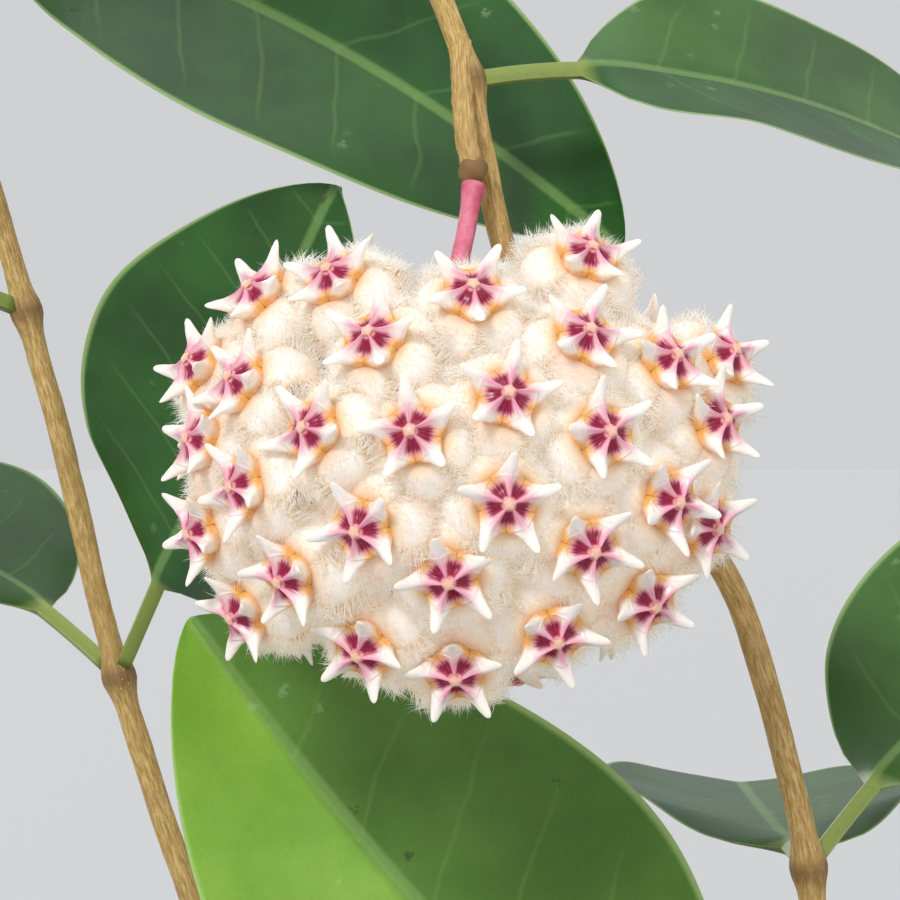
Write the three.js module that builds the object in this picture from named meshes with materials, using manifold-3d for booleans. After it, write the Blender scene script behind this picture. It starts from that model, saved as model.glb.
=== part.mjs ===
import * as THREE from 'three';
import { mergeVertices } from 'three/addons/utils/BufferGeometryUtils.js';
import Module from 'manifold-3d';

const wasm = await Module();
wasm.setup();

// A hoya in a clay pot, with one open head of fringed star flowers.
// Millimetres, +Z up. The origin is the middle of the pot's foot, and the flower head looks along -Y.

// Pot and soil
const potHeight = 100;
const potFootRadius = 39;
const potNeckRadius = 51;
const potCollarRadius = 57;
const potCollarHeight = 22;
const potWall = 5;
const potFloor = 8;
const potEdge = 1.5;
const potFacets = 24;
const drainHoleRadius = 3.5;
const drainHoleRing = 22;
const drainHoleCount = 3;
const soilTop = 87;
const soilRelief = 1.4;
const soilRings = 4;
const seatGap = 0.3;
const stemHoleDepth = 27;

// Stems
const stemRadius = 1.7;
const spurRadius = 1.2;
const stemSides = 7;
const knotRadius = 2.3;
const knotStretch = 1.3;
const spurKnotRadius = 1.7;
const peduncleRadius = 1.15;

// The head: half sizes of the ball on which the flowers stand, and its middle
const headCentre = new THREE.Vector3(-6, -24, 196);
const headHalfWidth = 34;
const headHalfHeight = 29;
const headHalfDepth = 31;
const hubOffset = new THREE.Vector3(0, 3, 4);
const hubRadius = 2.8;
const stalkRadius = 0.55;
const stalkSides = 5;
const stalkSeat = 4.6;

// The picture: the head's middle, the real size of a pixel there, and how far off the eye was
const headPixelX = 455;
const headPixelY = 462;
const pixelSize = 0.11;
const eyeDistance = 330;
const leastRise = 0.26;

// How far a front flower turns aside and nods, in degrees: the most, and the way from the middle that eases it
const turnLeft = { most: 75, ease: 25 };
const turnRight = { most: 80, ease: 45 };
const nodUp = { least: 5, most: 45, ease: 20 };

// Flowers seen from the front: middle of the star across and down in pixels, angle of one lobe
const frontStars = [
  [593, 245, 87], [326, 267, 77], [248, 284, 50], [473, 283, 56], [367, 330, 71],
  [591, 327, 77], [186, 358, 88], [228, 375, 60], [678, 353, 111], [736, 349, 105],
  [509, 390, 79], [301, 426, 122], [409, 429, 97], [611, 430, 107], [727, 418, 99],
  [186, 437, 84], [229, 486, 114], [509, 503, 88], [680, 502, 63], [719, 529, 43],
  [187, 534, 77], [354, 531, 114], [595, 552, 56], [277, 582, 161], [448, 583, 110],
  [656, 607, 42], [230, 619, 112], [356, 656, 79], [455, 680, 97], [558, 643, 147],
];

// Flowers behind them: an open ring that leaves room for the stalk of the head
const rearStarCount = 12;
const rearRingStart = 117;
const rearRingSpan = 306;
const rearRingPolar = 95;
const rearRingShrink = 0.87;
const rearTurnStep = 135;
const rearNod = 0.95;

// One flower. Heights are measured from the plane of the star's ridges.
const lobeCount = 5;
const starRadius = 5.4;
const starTipRise = 0.9;
const starLobeRise = 0.3;
const starLobeHalfWidth = 0.75;
const starLobeWidest = 4.2;
const starFootRadius = 3;
const starFoot = -1.7;
const corollaTop = -2;
const corollaBack = -5.4;
const corollaShoulder = { lobe: [5.1, -2.9], sinus: [4.5, -3.2] };
const corollaBelly = { lobe: [5.7, -5.4], flank: [5.2, -5.7, 24], sinus: [3.2, -5.0] };
const corollaTips = { lobe: [4.3, -8.3], sinus: [2.2, -5.6] };

// Routes of the stems, from inside the soil to the growing tip
const mainStemRoute = [
  [33, 12, 61], [33, 12, 76], [33, 11.6, 91], [37, 6, 118], [36, 0, 146], [29.8, -4, 171.7],
  [25.8, -4.4, 182.2], [11.5, -4.4, 202], [0.4, -4, 219.3], [-2.7, -4, 232.4], [-6, -3, 246],
  [-14, 0, 262], [-27, 2, 272],
];
const sideStemRoute = [
  [-23, 20, 61], [-23, 20, 76], [-23.6, 20.3, 91], [-34, 26, 125], [-48, 30, 165], [-58, 30, 205],
  [-68, 27, 240], [-79, 24, 268],
];
const spurRoute = [[-5.2, -3.2, 245], [-5.1, -5.8, 238], [-4.7, -7.4, 233.5], [-3.9, -8, 229.6]];
const peduncleRoute = [[-3.85, -8.3, 227.9], [-4.6, -10, 223], [-5.7, -13, 217], [-6, -19.5, 202.8]];

// Leaves: stem and height they grow from, bend and tip of the midrib, where the upper face looks,
// half the blade's width, and how far its halves fold up
const petioleLength = 12;
const petioleHalfWidth = 1.3;
const petioleHalfThickness = 1.2;
const petioleSeat = 2.25;
const bladeHalfThickness = 0.7;
const bladeEdgeThickness = 0.4;
const leafFrom = (stem, height, bend, tip, face, half, fold) => (
  { stem, height, bend, tip, face, half, fold }
);
const leaves = [
  leafFrom('main', 104, [1, -10, 127], [-36.5, -10, 178], [0.22, -0.94, 0.22], 26, 0.3),
  leafFrom('main', 104, [74, 10, 128], [112, 14, 142], [-0.4, -0.3, 0.9], 23, 0.3),
  leafFrom('main', 148, [62, 22, 176], [96, 40, 196], [-0.4, -0.5, 0.8], 22, 0.25),
  leafFrom('main', 148, [34, 44, 150], [36, 88, 148], [0, -0.3, 1], 22, 0.25),
  leafFrom('main', 240, [32, 4, 247], [74, 44, 226], [0.1, -0.6, 0.8], 21, 0.2),
  leafFrom('main', 264, [-38, -26, 286], [-88, -34, 284], [0.1, 0.2, 1], 17, 0.3),
  leafFrom('side', 264, [-32, 22, 262], [14, 6, 221], [0.2, -0.9, 0.5], 21, 0.2),
  leafFrom('side', 168, [-34, 12, 200], [-20, 6, 229], [-0.4, -0.8, 0.4], 23, 0.25),
  leafFrom('side', 120, [-66, 4, 128], [-104, -18, 126], [0, -0.4, 1], 23, 0.3),
  leafFrom('side', 168, [-76, 50, 190], [-106, 66, 196], [0.2, -0.2, 1], 22, 0.25),
  leafFrom('side', 215, [-88, 14, 226], [-124, -4, 222], [0.1, -0.5, 0.9], 20, 0.25),
  leafFrom('side', 264, [-108, 36, 286], [-134, 44, 280], [0.4, -0.2, 0.9], 15, 0.3),
];

const clayColour = 0xb5653f;
const soilColour = 0x3d2b20;
const barkColour = 0xcfae6e;
const pinkStalkColour = 0xd9748f;
const creamColour = 0xf6ead6;
const starColour = 0xf4d3dc;
const leafColour = 0x3f7d33;

const radians = THREE.MathUtils.degToRad;
const asVector = (point) => new THREE.Vector3(...point);
const asCurve = (route) => new THREE.CatmullRomCurve3(route.map(asVector));

function matte(colour, roughness) {
  return new THREE.MeshStandardMaterial({ color: colour, roughness, metalness: 0 });
}

function namedMesh(name, geometry, material) {
  const mesh = new THREE.Mesh(geometry, material);
  mesh.name = name;
  return mesh;
}

// Shared corners are merged and collapsed triangles dropped, so that the surface is closed
function closed(geometry) {
  geometry.deleteAttribute('normal');
  geometry.deleteAttribute('uv');
  const merged = mergeVertices(geometry, 1e-4);
  const corners = merged.index.array;
  const kept = [];
  for (let i = 0; i < corners.length; i += 3) {
    const [a, b, c] = corners.slice(i, i + 3);
    if (a !== b && b !== c && c !== a) kept.push(a, b, c);
  }
  merged.setIndex(kept);
  return merged;
}

function toSolid(geometry) {
  const whole = closed(geometry);
  return new wasm.Manifold(new wasm.Mesh({
    numProp: 3,
    vertProperties: new Float32Array(whole.attributes.position.array),
    triVerts: new Uint32Array(whole.index.array),
  }));
}

function toGeometry(solid) {
  const mesh = solid.getMesh();
  const geometry = new THREE.BufferGeometry();
  geometry.setAttribute('position', new THREE.BufferAttribute(new Float32Array(mesh.vertProperties), 3));
  geometry.setIndex(new THREE.BufferAttribute(new Uint32Array(mesh.triVerts), 1));
  return geometry;
}

// Only the outer skin is kept, which fills any small hollow that crowded flowers would seal off
function outerSkin(geometry) {
  const corners = geometry.index.array;
  const owner = Array.from({ length: geometry.attributes.position.count }, (_, i) => i);
  const root = (i) => {
    let end = i;
    while (owner[end] !== end) end = owner[end];
    owner[i] = end;
    return end;
  };
  const sizes = new Map();
  for (let i = 0; i < corners.length; i += 3) {
    owner[root(corners[i + 1])] = root(corners[i]);
    owner[root(corners[i + 2])] = root(corners[i]);
  }
  for (const corner of corners) sizes.set(root(corner), (sizes.get(root(corner)) ?? 0) + 1);
  const [largest] = [...sizes].sort((a, b) => b[1] - a[1])[0];
  geometry.setIndex([...corners].filter((corner) => root(corner) === largest));
  return geometry;
}

function joined(solids) {
  return solids.reduce((whole, solid) => whole.add(solid));
}

function geometryFrom(points, triangles) {
  const geometry = new THREE.BufferGeometry();
  geometry.setAttribute('position', new THREE.Float32BufferAttribute(points.flat(), 3));
  geometry.setIndex(triangles.flat());
  return geometry;
}

// Shapes that several pieces share
function turned(profile) {
  const outline = profile.map(([radius, height]) => new THREE.Vector2(radius, height));
  return new THREE.LatheGeometry(outline, potFacets).rotateX(Math.PI / 2);
}

function upright(radius, bottom, top, sides) {
  const cylinder = new THREE.CylinderGeometry(radius, radius, top - bottom, sides).rotateX(Math.PI / 2);
  return cylinder.translate(0, 0, (bottom + top) / 2);
}

function tube(curve, radius, sides, steps) {
  const section = new THREE.Shape();
  for (let i = 0; i < sides; i += 1) {
    const angle = (2 * Math.PI * i) / sides;
    const corner = [radius * Math.cos(angle), radius * Math.sin(angle)];
    if (i === 0) section.moveTo(...corner);
    else section.lineTo(...corner);
  }
  section.closePath();
  return new THREE.ExtrudeGeometry(section, { steps, extrudePath: curve });
}

function rod(from, to, radiusFrom, radiusTo) {
  const along = to.clone().sub(from);
  const geometry = new THREE.CylinderGeometry(radiusTo, radiusFrom, along.length(), stalkSides);
  const turn = new THREE.Quaternion();
  turn.setFromUnitVectors(new THREE.Vector3(0, 1, 0), along.clone().normalize());
  const middle = from.clone().add(to).multiplyScalar(0.5);
  return geometry.applyQuaternion(turn).translate(middle.x, middle.y, middle.z);
}

function ball(centre, radius, stretch) {
  return new THREE.SphereGeometry(radius, 7, 4).scale(1, 1, stretch).translate(centre.x, centre.y, centre.z);
}

// The pot: a thrown clay shell with a collar, solid under its middle and drained by three holes
function potInside(height) {
  const bottom = potFootRadius - potWall + 2;
  const top = potCollarRadius - potWall;
  return THREE.MathUtils.mapLinear(height, potFloor, potHeight, bottom, top);
}

function makePot() {
  const collarBottom = potHeight - potCollarHeight;
  const shell = toSolid(turned([
    [0, 0], [potFootRadius - potEdge, 0], [potFootRadius, potEdge],
    [potNeckRadius, collarBottom - potEdge], [potCollarRadius - potEdge, collarBottom],
    [potCollarRadius, collarBottom + potEdge], [potCollarRadius + potEdge, potHeight - potEdge],
    [potCollarRadius, potHeight], [potInside(potHeight) + potEdge, potHeight],
    [potInside(potHeight - potEdge), potHeight - potEdge], [potInside(potFloor), potFloor], [0, potFloor],
  ]));
  const holes = [];
  for (let i = 0; i < drainHoleCount; i += 1) {
    const angle = (2 * Math.PI * i) / drainHoleCount;
    const hole = upright(drainHoleRadius, -1, potFloor + 1, 7);
    hole.translate(drainHoleRing * Math.cos(angle), drainHoleRing * Math.sin(angle), 0);
    holes.push(toSolid(hole));
  }
  return toGeometry(shell.subtract(joined(holes)));
}

// The soil: an uneven top by a formula, sides that follow the pot, a plain hole for each stem
function soilHeight(x, y) {
  const slow = Math.sin(x * 0.11 + 1.3) * Math.cos(y * 0.09);
  const quick = Math.sin(x * 0.31 - y * 0.23);
  return soilTop + soilRelief * (slow + 0.4 * quick);
}

function makeSoil() {
  const floor = potFloor + seatGap;
  const facet = 1 / Math.cos(Math.PI / potFacets);
  const points = [[0, 0, soilHeight(0, 0)]];
  const triangles = [];
  for (let ring = 1; ring <= soilRings; ring += 1) {
    for (let i = 0; i < potFacets; i += 1) {
      const angle = (2 * Math.PI * i) / potFacets;
      const direction = [Math.sin(angle), Math.cos(angle)];
      const reach = (potInside(soilTop - soilRelief * 2) - seatGap * facet) * (ring / soilRings);
      const [x, y] = direction.map((part) => part * reach);
      points.push([x, y, soilHeight(x, y)]);
    }
  }
  const bottomStart = points.length;
  for (let i = 0; i < potFacets; i += 1) {
    const angle = (2 * Math.PI * i) / potFacets;
    const reach = potInside(floor) - seatGap * facet;
    points.push([reach * Math.sin(angle), reach * Math.cos(angle), floor]);
  }
  points.push([0, 0, floor]);
  const centre = points.length - 1;
  for (let i = 0; i < potFacets; i += 1) {
    const next = (i + 1) % potFacets;
    triangles.push([0, 1 + next, 1 + i], [centre, bottomStart + i, bottomStart + next]);
    for (let ring = 0; ring < soilRings; ring += 1) {
      const [a, b] = [1 + ring * potFacets + i, 1 + ring * potFacets + next];
      triangles.push([a, b, b + potFacets], [a, b + potFacets, a + potFacets]);
    }
  }
  const holes = [mainStemRoute, sideStemRoute].map(([foot]) => {
    const hole = upright(stemRadius + 2 * seatGap, soilTop - stemHoleDepth, soilTop + 10, 10);
    return toSolid(hole.translate(foot[0], foot[1], 0));
  });
  return toGeometry(toSolid(geometryFrom(points, triangles)).subtract(joined(holes)));
}

// Stems: a round cane with a swollen knot wherever leaves leave it
const stemCurves = { main: asCurve(mainStemRoute), side: asCurve(sideStemRoute) };

function shareAtHeight(curve, height) {
  const places = curve.getSpacedPoints(400);
  return Math.max(places.findIndex((place) => place.z >= height), 0) / 400;
}

function pointAtHeight(curve, height) {
  return curve.getPointAt(shareAtHeight(curve, height));
}

function knotHeights(stem) {
  return [...new Set(leaves.filter((leaf) => leaf.stem === stem).map((leaf) => leaf.height))];
}

function makeStem(stem, steps) {
  const curve = stemCurves[stem];
  const cane = toSolid(tube(curve, stemRadius, stemSides, steps));
  const knots = knotHeights(stem).map((height) => pointAtHeight(curve, height));
  return joined([cane, ...knots.map((knot) => toSolid(ball(knot, knotRadius, knotStretch)))]);
}

function makeMainStem() {
  const spur = asCurve(spurRoute);
  const knot = ball(asVector(spurRoute.at(-1)), spurKnotRadius, 0.8);
  const cane = makeStem('main', 26);
  return toGeometry(joined([cane, toSolid(tube(spur, spurRadius, 6, 5)), toSolid(knot)]));
}

// Leaves: one thick folded blade that narrows into its stalk, made of matching strips above and below
function bladeHalfWidth(leaf, along) {
  const bulge = Math.max(Math.sin(Math.PI * along ** 0.85), 0) ** 0.7;
  return Math.max(leaf.half * bulge, along > 0.5 ? 0.6 : petioleHalfWidth);
}

function leafSection(leaf, curve, at, along) {
  const middle = curve.getPointAt(at);
  const forward = curve.getTangentAt(at);
  const aside = forward.clone().cross(asVector(leaf.face)).normalize();
  const above = aside.clone().cross(forward);
  const inBlade = along >= 0;
  const half = inBlade ? bladeHalfWidth(leaf, along) : petioleHalfWidth;
  const swell = inBlade ? THREE.MathUtils.smoothstep(along, 0, 0.2) : 0;
  const core = THREE.MathUtils.lerp(petioleHalfThickness, bladeHalfThickness, swell);
  const place = (share, side) => {
    const thick = THREE.MathUtils.lerp(core, bladeEdgeThickness, Math.abs(share));
    const rise = swell * leaf.fold * half * Math.abs(share) ** 1.4 + side * thick;
    return middle.clone().addScaledVector(aside, share * half).addScaledVector(above, rise).toArray();
  };
  const shares = [-1, -0.55, 0, 0.55, 1];
  return [...shares.map((share) => place(share, 1)), ...shares.reverse().map((share) => place(share, -1))];
}

// The stalk's end stops just short of the knot, farther out the more it leans along the stem
function petioleFoot(leaf) {
  const stem = stemCurves[leaf.stem];
  const knot = pointAtHeight(stem, leaf.height);
  const heading = asVector(leaf.bend).sub(knot).normalize();
  const lean = Math.abs(heading.dot(stem.getTangentAt(shareAtHeight(stem, leaf.height))));
  const reach = (petioleSeat + petioleHalfWidth * lean * 0.7) / Math.sqrt(1 - lean ** 2);
  return knot.addScaledVector(heading, reach);
}

function makeLeaf(leaf) {
  const base = petioleFoot(leaf);
  const bend = asVector(leaf.bend);
  const curve = new THREE.QuadraticBezierCurve3(base, bend, asVector(leaf.tip));
  const neck = petioleLength / curve.getLength();
  const sections = [leafSection(leaf, curve, 0, -1), leafSection(leaf, curve, neck * 0.9, -1)];
  for (const along of [0.06, 0.2, 0.4, 0.6, 0.78, 0.92, 1]) {
    sections.push(leafSection(leaf, curve, neck + along * (1 - neck), along));
  }
  const around = sections[0].length;
  const triangles = [];
  for (let row = 0; row + 1 < sections.length; row += 1) {
    for (let i = 0; i < around; i += 1) {
      const [a, b] = [row * around + i, row * around + ((i + 1) % around)];
      const upper = i < 4;
      if (upper) triangles.push([a, b + around, a + around], [a, b, b + around]);
      else triangles.push([a, b, a + around], [b, b + around, a + around]);
    }
  }
  const last = (sections.length - 1) * around;
  for (let i = 0; i < 4; i += 1) {
    const across = around - 1 - i;
    const inner = around - 2 - i;
    triangles.push([i, inner, i + 1], [i, across, inner]);
    triangles.push([last + i, last + i + 1, last + inner], [last + i, last + inner, last + across]);
  }
  return geometryFrom(sections.flat(), triangles);
}

// Where each flower stands on the head, and which way it looks
function frontPlace([pixelX, pixelY]) {
  const across = (pixelX - headPixelX) * pixelSize;
  const up = (headPixelY - pixelY) * pixelSize;
  let nearer = 0;
  for (let round = 0; round < 8; round += 1) {
    const scale = (eyeDistance - nearer) / eyeDistance;
    const spread = Math.hypot((across * scale) / headHalfWidth, (up * scale) / headHalfHeight);
    nearer = headHalfDepth * Math.sqrt(Math.max(1 - spread ** 2, leastRise ** 2));
  }
  const scale = (eyeDistance - nearer) / eyeDistance;
  return new THREE.Vector3(across * scale, -nearer, up * scale);
}

function rearPlace(index) {
  const around = radians(rearRingStart + (rearRingSpan * index) / (rearStarCount - 1));
  const polar = radians(rearRingPolar);
  return new THREE.Vector3(
    headHalfWidth * Math.sin(polar) * Math.cos(around),
    -headHalfDepth * Math.cos(polar),
    headHalfHeight * Math.sin(polar) * Math.sin(around),
  ).multiplyScalar(rearRingShrink);
}

// A front flower turns aside the more, the farther out it stands, and one behind looks out from the ball
function frontFacing(place) {
  const { most, ease } = place.x < 0 ? turnLeft : turnRight;
  const turn = radians(most * Math.tanh(place.x / ease));
  const nod = radians(nodUp.least + nodUp.most * Math.tanh(place.z / nodUp.ease));
  return new THREE.Vector3(
    Math.sin(turn) * Math.cos(nod),
    -Math.cos(turn) * Math.cos(nod),
    Math.sin(nod),
  );
}

function rearFacing(place) {
  const toFront = new THREE.Vector3(0, -1, 0);
  const outward = new THREE.Vector3(
    place.x / headHalfWidth ** 2,
    place.y / headHalfDepth ** 2,
    place.z / headHalfHeight ** 2,
  ).normalize();
  const axis = toFront.clone().cross(outward).normalize();
  return toFront.clone().applyAxisAngle(axis, toFront.angleTo(outward) * rearNod);
}

// The lobe lies in the flower's own plane and is seen at the given angle from the front
function lobeDirection(look, degrees) {
  const x = Math.cos(radians(degrees));
  const z = Math.sin(radians(degrees));
  return new THREE.Vector3(x, -(x * look.x + z * look.z) / look.y, z).normalize();
}

function flowerFrames() {
  const frames = frontStars.map((star) => {
    const place = frontPlace(star);
    const look = frontFacing(place);
    return { place, look, lobe: lobeDirection(look, star[2]) };
  });
  for (let i = 0; i < rearStarCount; i += 1) {
    const place = rearPlace(i);
    const look = rearFacing(place);
    const start = new THREE.Vector3(0, 0, 1).cross(look).normalize();
    frames.push({ place, look, lobe: start.applyAxisAngle(look, radians(rearTurnStep * i)) });
  }
  return frames.map(({ place, look, lobe }) => {
    const matrix = new THREE.Matrix4().makeBasis(lobe, look.clone().cross(lobe), look);
    return matrix.setPosition(place.add(headCentre));
  });
}

// The corolla: five fleshy lobes bent right back under the star, between the star's own lobes
function corollaPoint([radius, height, spread = 0], lobe, side) {
  const angle = radians((lobe + 0.5) * (360 / lobeCount) + side * spread);
  return [radius * Math.cos(angle), radius * Math.sin(angle), height];
}

function corollaRing({ lobe, flank, sinus }) {
  const ring = [];
  for (let i = 0; i < lobeCount; i += 1) {
    ring.push(corollaPoint(lobe, i, 0));
    if (flank) ring.push(corollaPoint(flank, i, 1));
    ring.push(corollaPoint([...sinus, 180 / lobeCount], i, 1));
    if (flank) ring.push(corollaPoint(flank, i + 1, -1));
  }
  return ring;
}

function makeCorolla() {
  const shoulder = corollaRing(corollaShoulder);
  const belly = corollaRing(corollaBelly);
  const tips = corollaRing(corollaTips);
  const points = [[0, 0, corollaTop], ...shoulder, ...belly, ...tips, [0, 0, corollaBack]];
  const triangles = [];
  const count = shoulder.length;
  for (let i = 0; i < count; i += 1) {
    const [a, b] = [1 + i, 1 + ((i + 1) % count)];
    const [c, d] = [a, b].map((corner) => corner + shoulder.length + belly.length);
    const middle = [0, 1, 2].map((step) => 1 + count + ((2 * i + step) % belly.length));
    triangles.push([0, a, b], [a, middle[0], middle[1]], [a, middle[1], b], [b, middle[1], middle[2]]);
    triangles.push([c, middle[1], middle[0]], [c, d, middle[1]], [d, middle[2], middle[1]]);
    triangles.push([c, points.length - 1, d]);
  }
  return geometryFrom(points, triangles);
}

// The star: five keels that overhang their foot, joined in the middle
function makeStar() {
  const top = 0;
  const foot = 1;
  const points = [[0, 0, 0.1], [0, 0, starFoot]];
  const triangles = [];
  const at = (radius, degrees, height) => {
    const angle = radians(degrees);
    points.push([radius * Math.cos(angle), radius * Math.sin(angle), height]);
    return points.length - 1;
  };
  const step = 360 / lobeCount;
  const widest = THREE.MathUtils.radToDeg(Math.atan(starLobeHalfWidth / starLobeWidest));
  const lobes = [];
  for (let i = 0; i < lobeCount; i += 1) {
    lobes.push({
      ridge: at(1.8, i * step, 0.05),
      under: at(starFootRadius, i * step, starFoot),
      right: at(starLobeWidest, i * step - widest, starLobeRise),
      left: at(starLobeWidest, i * step + widest, starLobeRise),
      tip: at(starRadius, i * step, starTipRise),
      valley: at(starFootRadius - 0.1, (i + 0.5) * step, starFoot + 0.3),
    });
  }
  lobes.forEach(({ ridge, under, right, left, tip, valley }, i) => {
    const before = lobes[(i + lobeCount - 1) % lobeCount].valley;
    triangles.push([top, before, ridge], [top, ridge, valley]);
    triangles.push([before, right, ridge], [ridge, left, valley], [ridge, right, tip], [ridge, tip, left]);
    triangles.push([foot, valley, under], [foot, under, before]);
    triangles.push([under, valley, left], [under, left, tip], [under, tip, right], [under, right, before]);
  });
  return geometryFrom(points, triangles);
}

// The head: a hub, one stalk to each flower, and all the corollas, grown together
function makeUmbel(frames) {
  const hub = headCentre.clone().add(hubOffset);
  const parts = [toSolid(new THREE.IcosahedronGeometry(hubRadius, 1).translate(hub.x, hub.y, hub.z))];
  const corolla = makeCorolla();
  for (const frame of frames) {
    const seat = new THREE.Vector3(0, 0, -stalkSeat).applyMatrix4(frame);
    parts.push(toSolid(corolla.clone().applyMatrix4(frame)));
    parts.push(toSolid(rod(hub, seat, stalkRadius, stalkRadius * 1.3)));
  }
  return outerSkin(toGeometry(joined(parts)));
}

const plant = new THREE.Group();
plant.add(namedMesh('pot', makePot(), matte(clayColour, 0.85)));
plant.add(namedMesh('soil', makeSoil(), matte(soilColour, 0.95)));
plant.add(namedMesh('stem_main', makeMainStem(), matte(barkColour, 0.7)));
plant.add(namedMesh('stem_side', toGeometry(makeStem('side', 20)), matte(barkColour, 0.7)));
const peduncle = closed(tube(asCurve(peduncleRoute), peduncleRadius, stemSides, 7));
plant.add(namedMesh('peduncle', peduncle, matte(pinkStalkColour, 0.5)));

const frames = flowerFrames();
plant.add(namedMesh('umbel', makeUmbel(frames), matte(creamColour, 0.6)));
frames.forEach((frame, index) => {
  const star = closed(makeStar().applyMatrix4(frame));
  plant.add(namedMesh(`corona_${String(index + 1).padStart(2, '0')}`, star, matte(starColour, 0.25)));
});
leaves.forEach((leaf, index) => {
  const name = `leaf_${String(index + 1).padStart(2, '0')}`;
  plant.add(namedMesh(name, closed(makeLeaf(leaf)), matte(leafColour, 0.4)));
});

export default plant;
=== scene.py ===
import math

import bmesh
import bpy
import numpy as np
from mathutils import Matrix, Vector


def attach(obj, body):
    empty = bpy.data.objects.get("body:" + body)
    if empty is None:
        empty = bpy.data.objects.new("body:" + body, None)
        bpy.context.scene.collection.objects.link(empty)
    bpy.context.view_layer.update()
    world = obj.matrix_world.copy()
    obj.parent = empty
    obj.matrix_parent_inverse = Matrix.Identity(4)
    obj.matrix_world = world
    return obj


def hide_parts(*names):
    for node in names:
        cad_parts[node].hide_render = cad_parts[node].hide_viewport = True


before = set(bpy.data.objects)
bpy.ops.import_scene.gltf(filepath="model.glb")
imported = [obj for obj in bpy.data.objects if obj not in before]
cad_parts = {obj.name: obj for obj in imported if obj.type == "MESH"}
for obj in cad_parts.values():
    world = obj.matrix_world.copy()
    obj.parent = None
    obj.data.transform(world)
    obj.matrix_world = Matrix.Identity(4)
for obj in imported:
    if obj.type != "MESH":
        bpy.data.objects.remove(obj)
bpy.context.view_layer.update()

# A hoya in a clay pot, its flower head seen close up. Sizes are in millimetres, and mm turns them into
# metres where a mesh is made. +Z is up and the head looks along -Y.
mm = 0.001


# Camera, lamps and floor
studio = {
    "cameraPlace": (-6.55, -354.0, 197.32),
    "lens": 120,
    "sensorWidth": 36,
    "clip": (0.01, 100),  # metres
    "skyColour": "f4f6f8",
    "skyStrength": 0.69,
    "floorColours": ("c5c5c6", "bfc0c1"),
    "floorHalf": 30000,
    "lamps": [  # name, where it shines from, width in degrees, watts on a square metre
        ("keyLamp", (-560, -1180, 1010), 15, 1.7),
        ("fillLamp", (1400, -1000, 500), 38, 0.33),
        ("topLamp", (60, 200, 1800), 34, 0.42),
        ("backLamp", (-940, 1620, 760), 29, 0.6),
    ],
    "lampTarget": (0, 0, 170),
}


def linearColour(code):
    parts = [int(code[i:i + 2], 16) / 255 for i in (0, 2, 4)]
    return tuple(p / 12.92 if p <= 0.04045 else ((p + 0.055) / 1.055) ** 2.4 for p in parts)


class Reading:  # one output of a node, which ordinary arithmetic works on
    def __init__(self, finish, socket):
        self.finish = finish
        self.socket = socket

    def isWide(self):
        return self.socket.type in ("VECTOR", "RGBA")

    def __add__(self, value):
        return self.finish.sum("ADD", self, value)

    __radd__ = __add__

    def __mul__(self, value):
        return self.finish.sum("MULTIPLY", self, value)

    __rmul__ = __mul__

    def __sub__(self, value):
        return self.finish.sum("SUBTRACT", self, value)

    def __rsub__(self, value):
        return self.finish.sum("SUBTRACT", value, self)

    def __truediv__(self, value):
        return self.finish.sum("DIVIDE", self, value)

    def __rtruediv__(self, value):
        return self.finish.sum("DIVIDE", value, self)

    def __abs__(self):
        return self.finish.sum("ABSOLUTE", self)

    def sine(self):
        return self.finish.sum("SINE", self)

    def cosine(self):
        return self.finish.sum("COSINE", self)

    def fade(self, low, high):  # 0 below low and 1 above high, or the other way round
        limits = {"Value": self, "From Min": low, "From Max": high}
        if high < low:
            limits.update({"From Min": high, "From Max": low, "To Min": 1.0, "To Max": 0.0})
        return self.finish.node("ShaderNodeMapRange", {"interpolation_type": "SMOOTHSTEP"}, limits)


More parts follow.
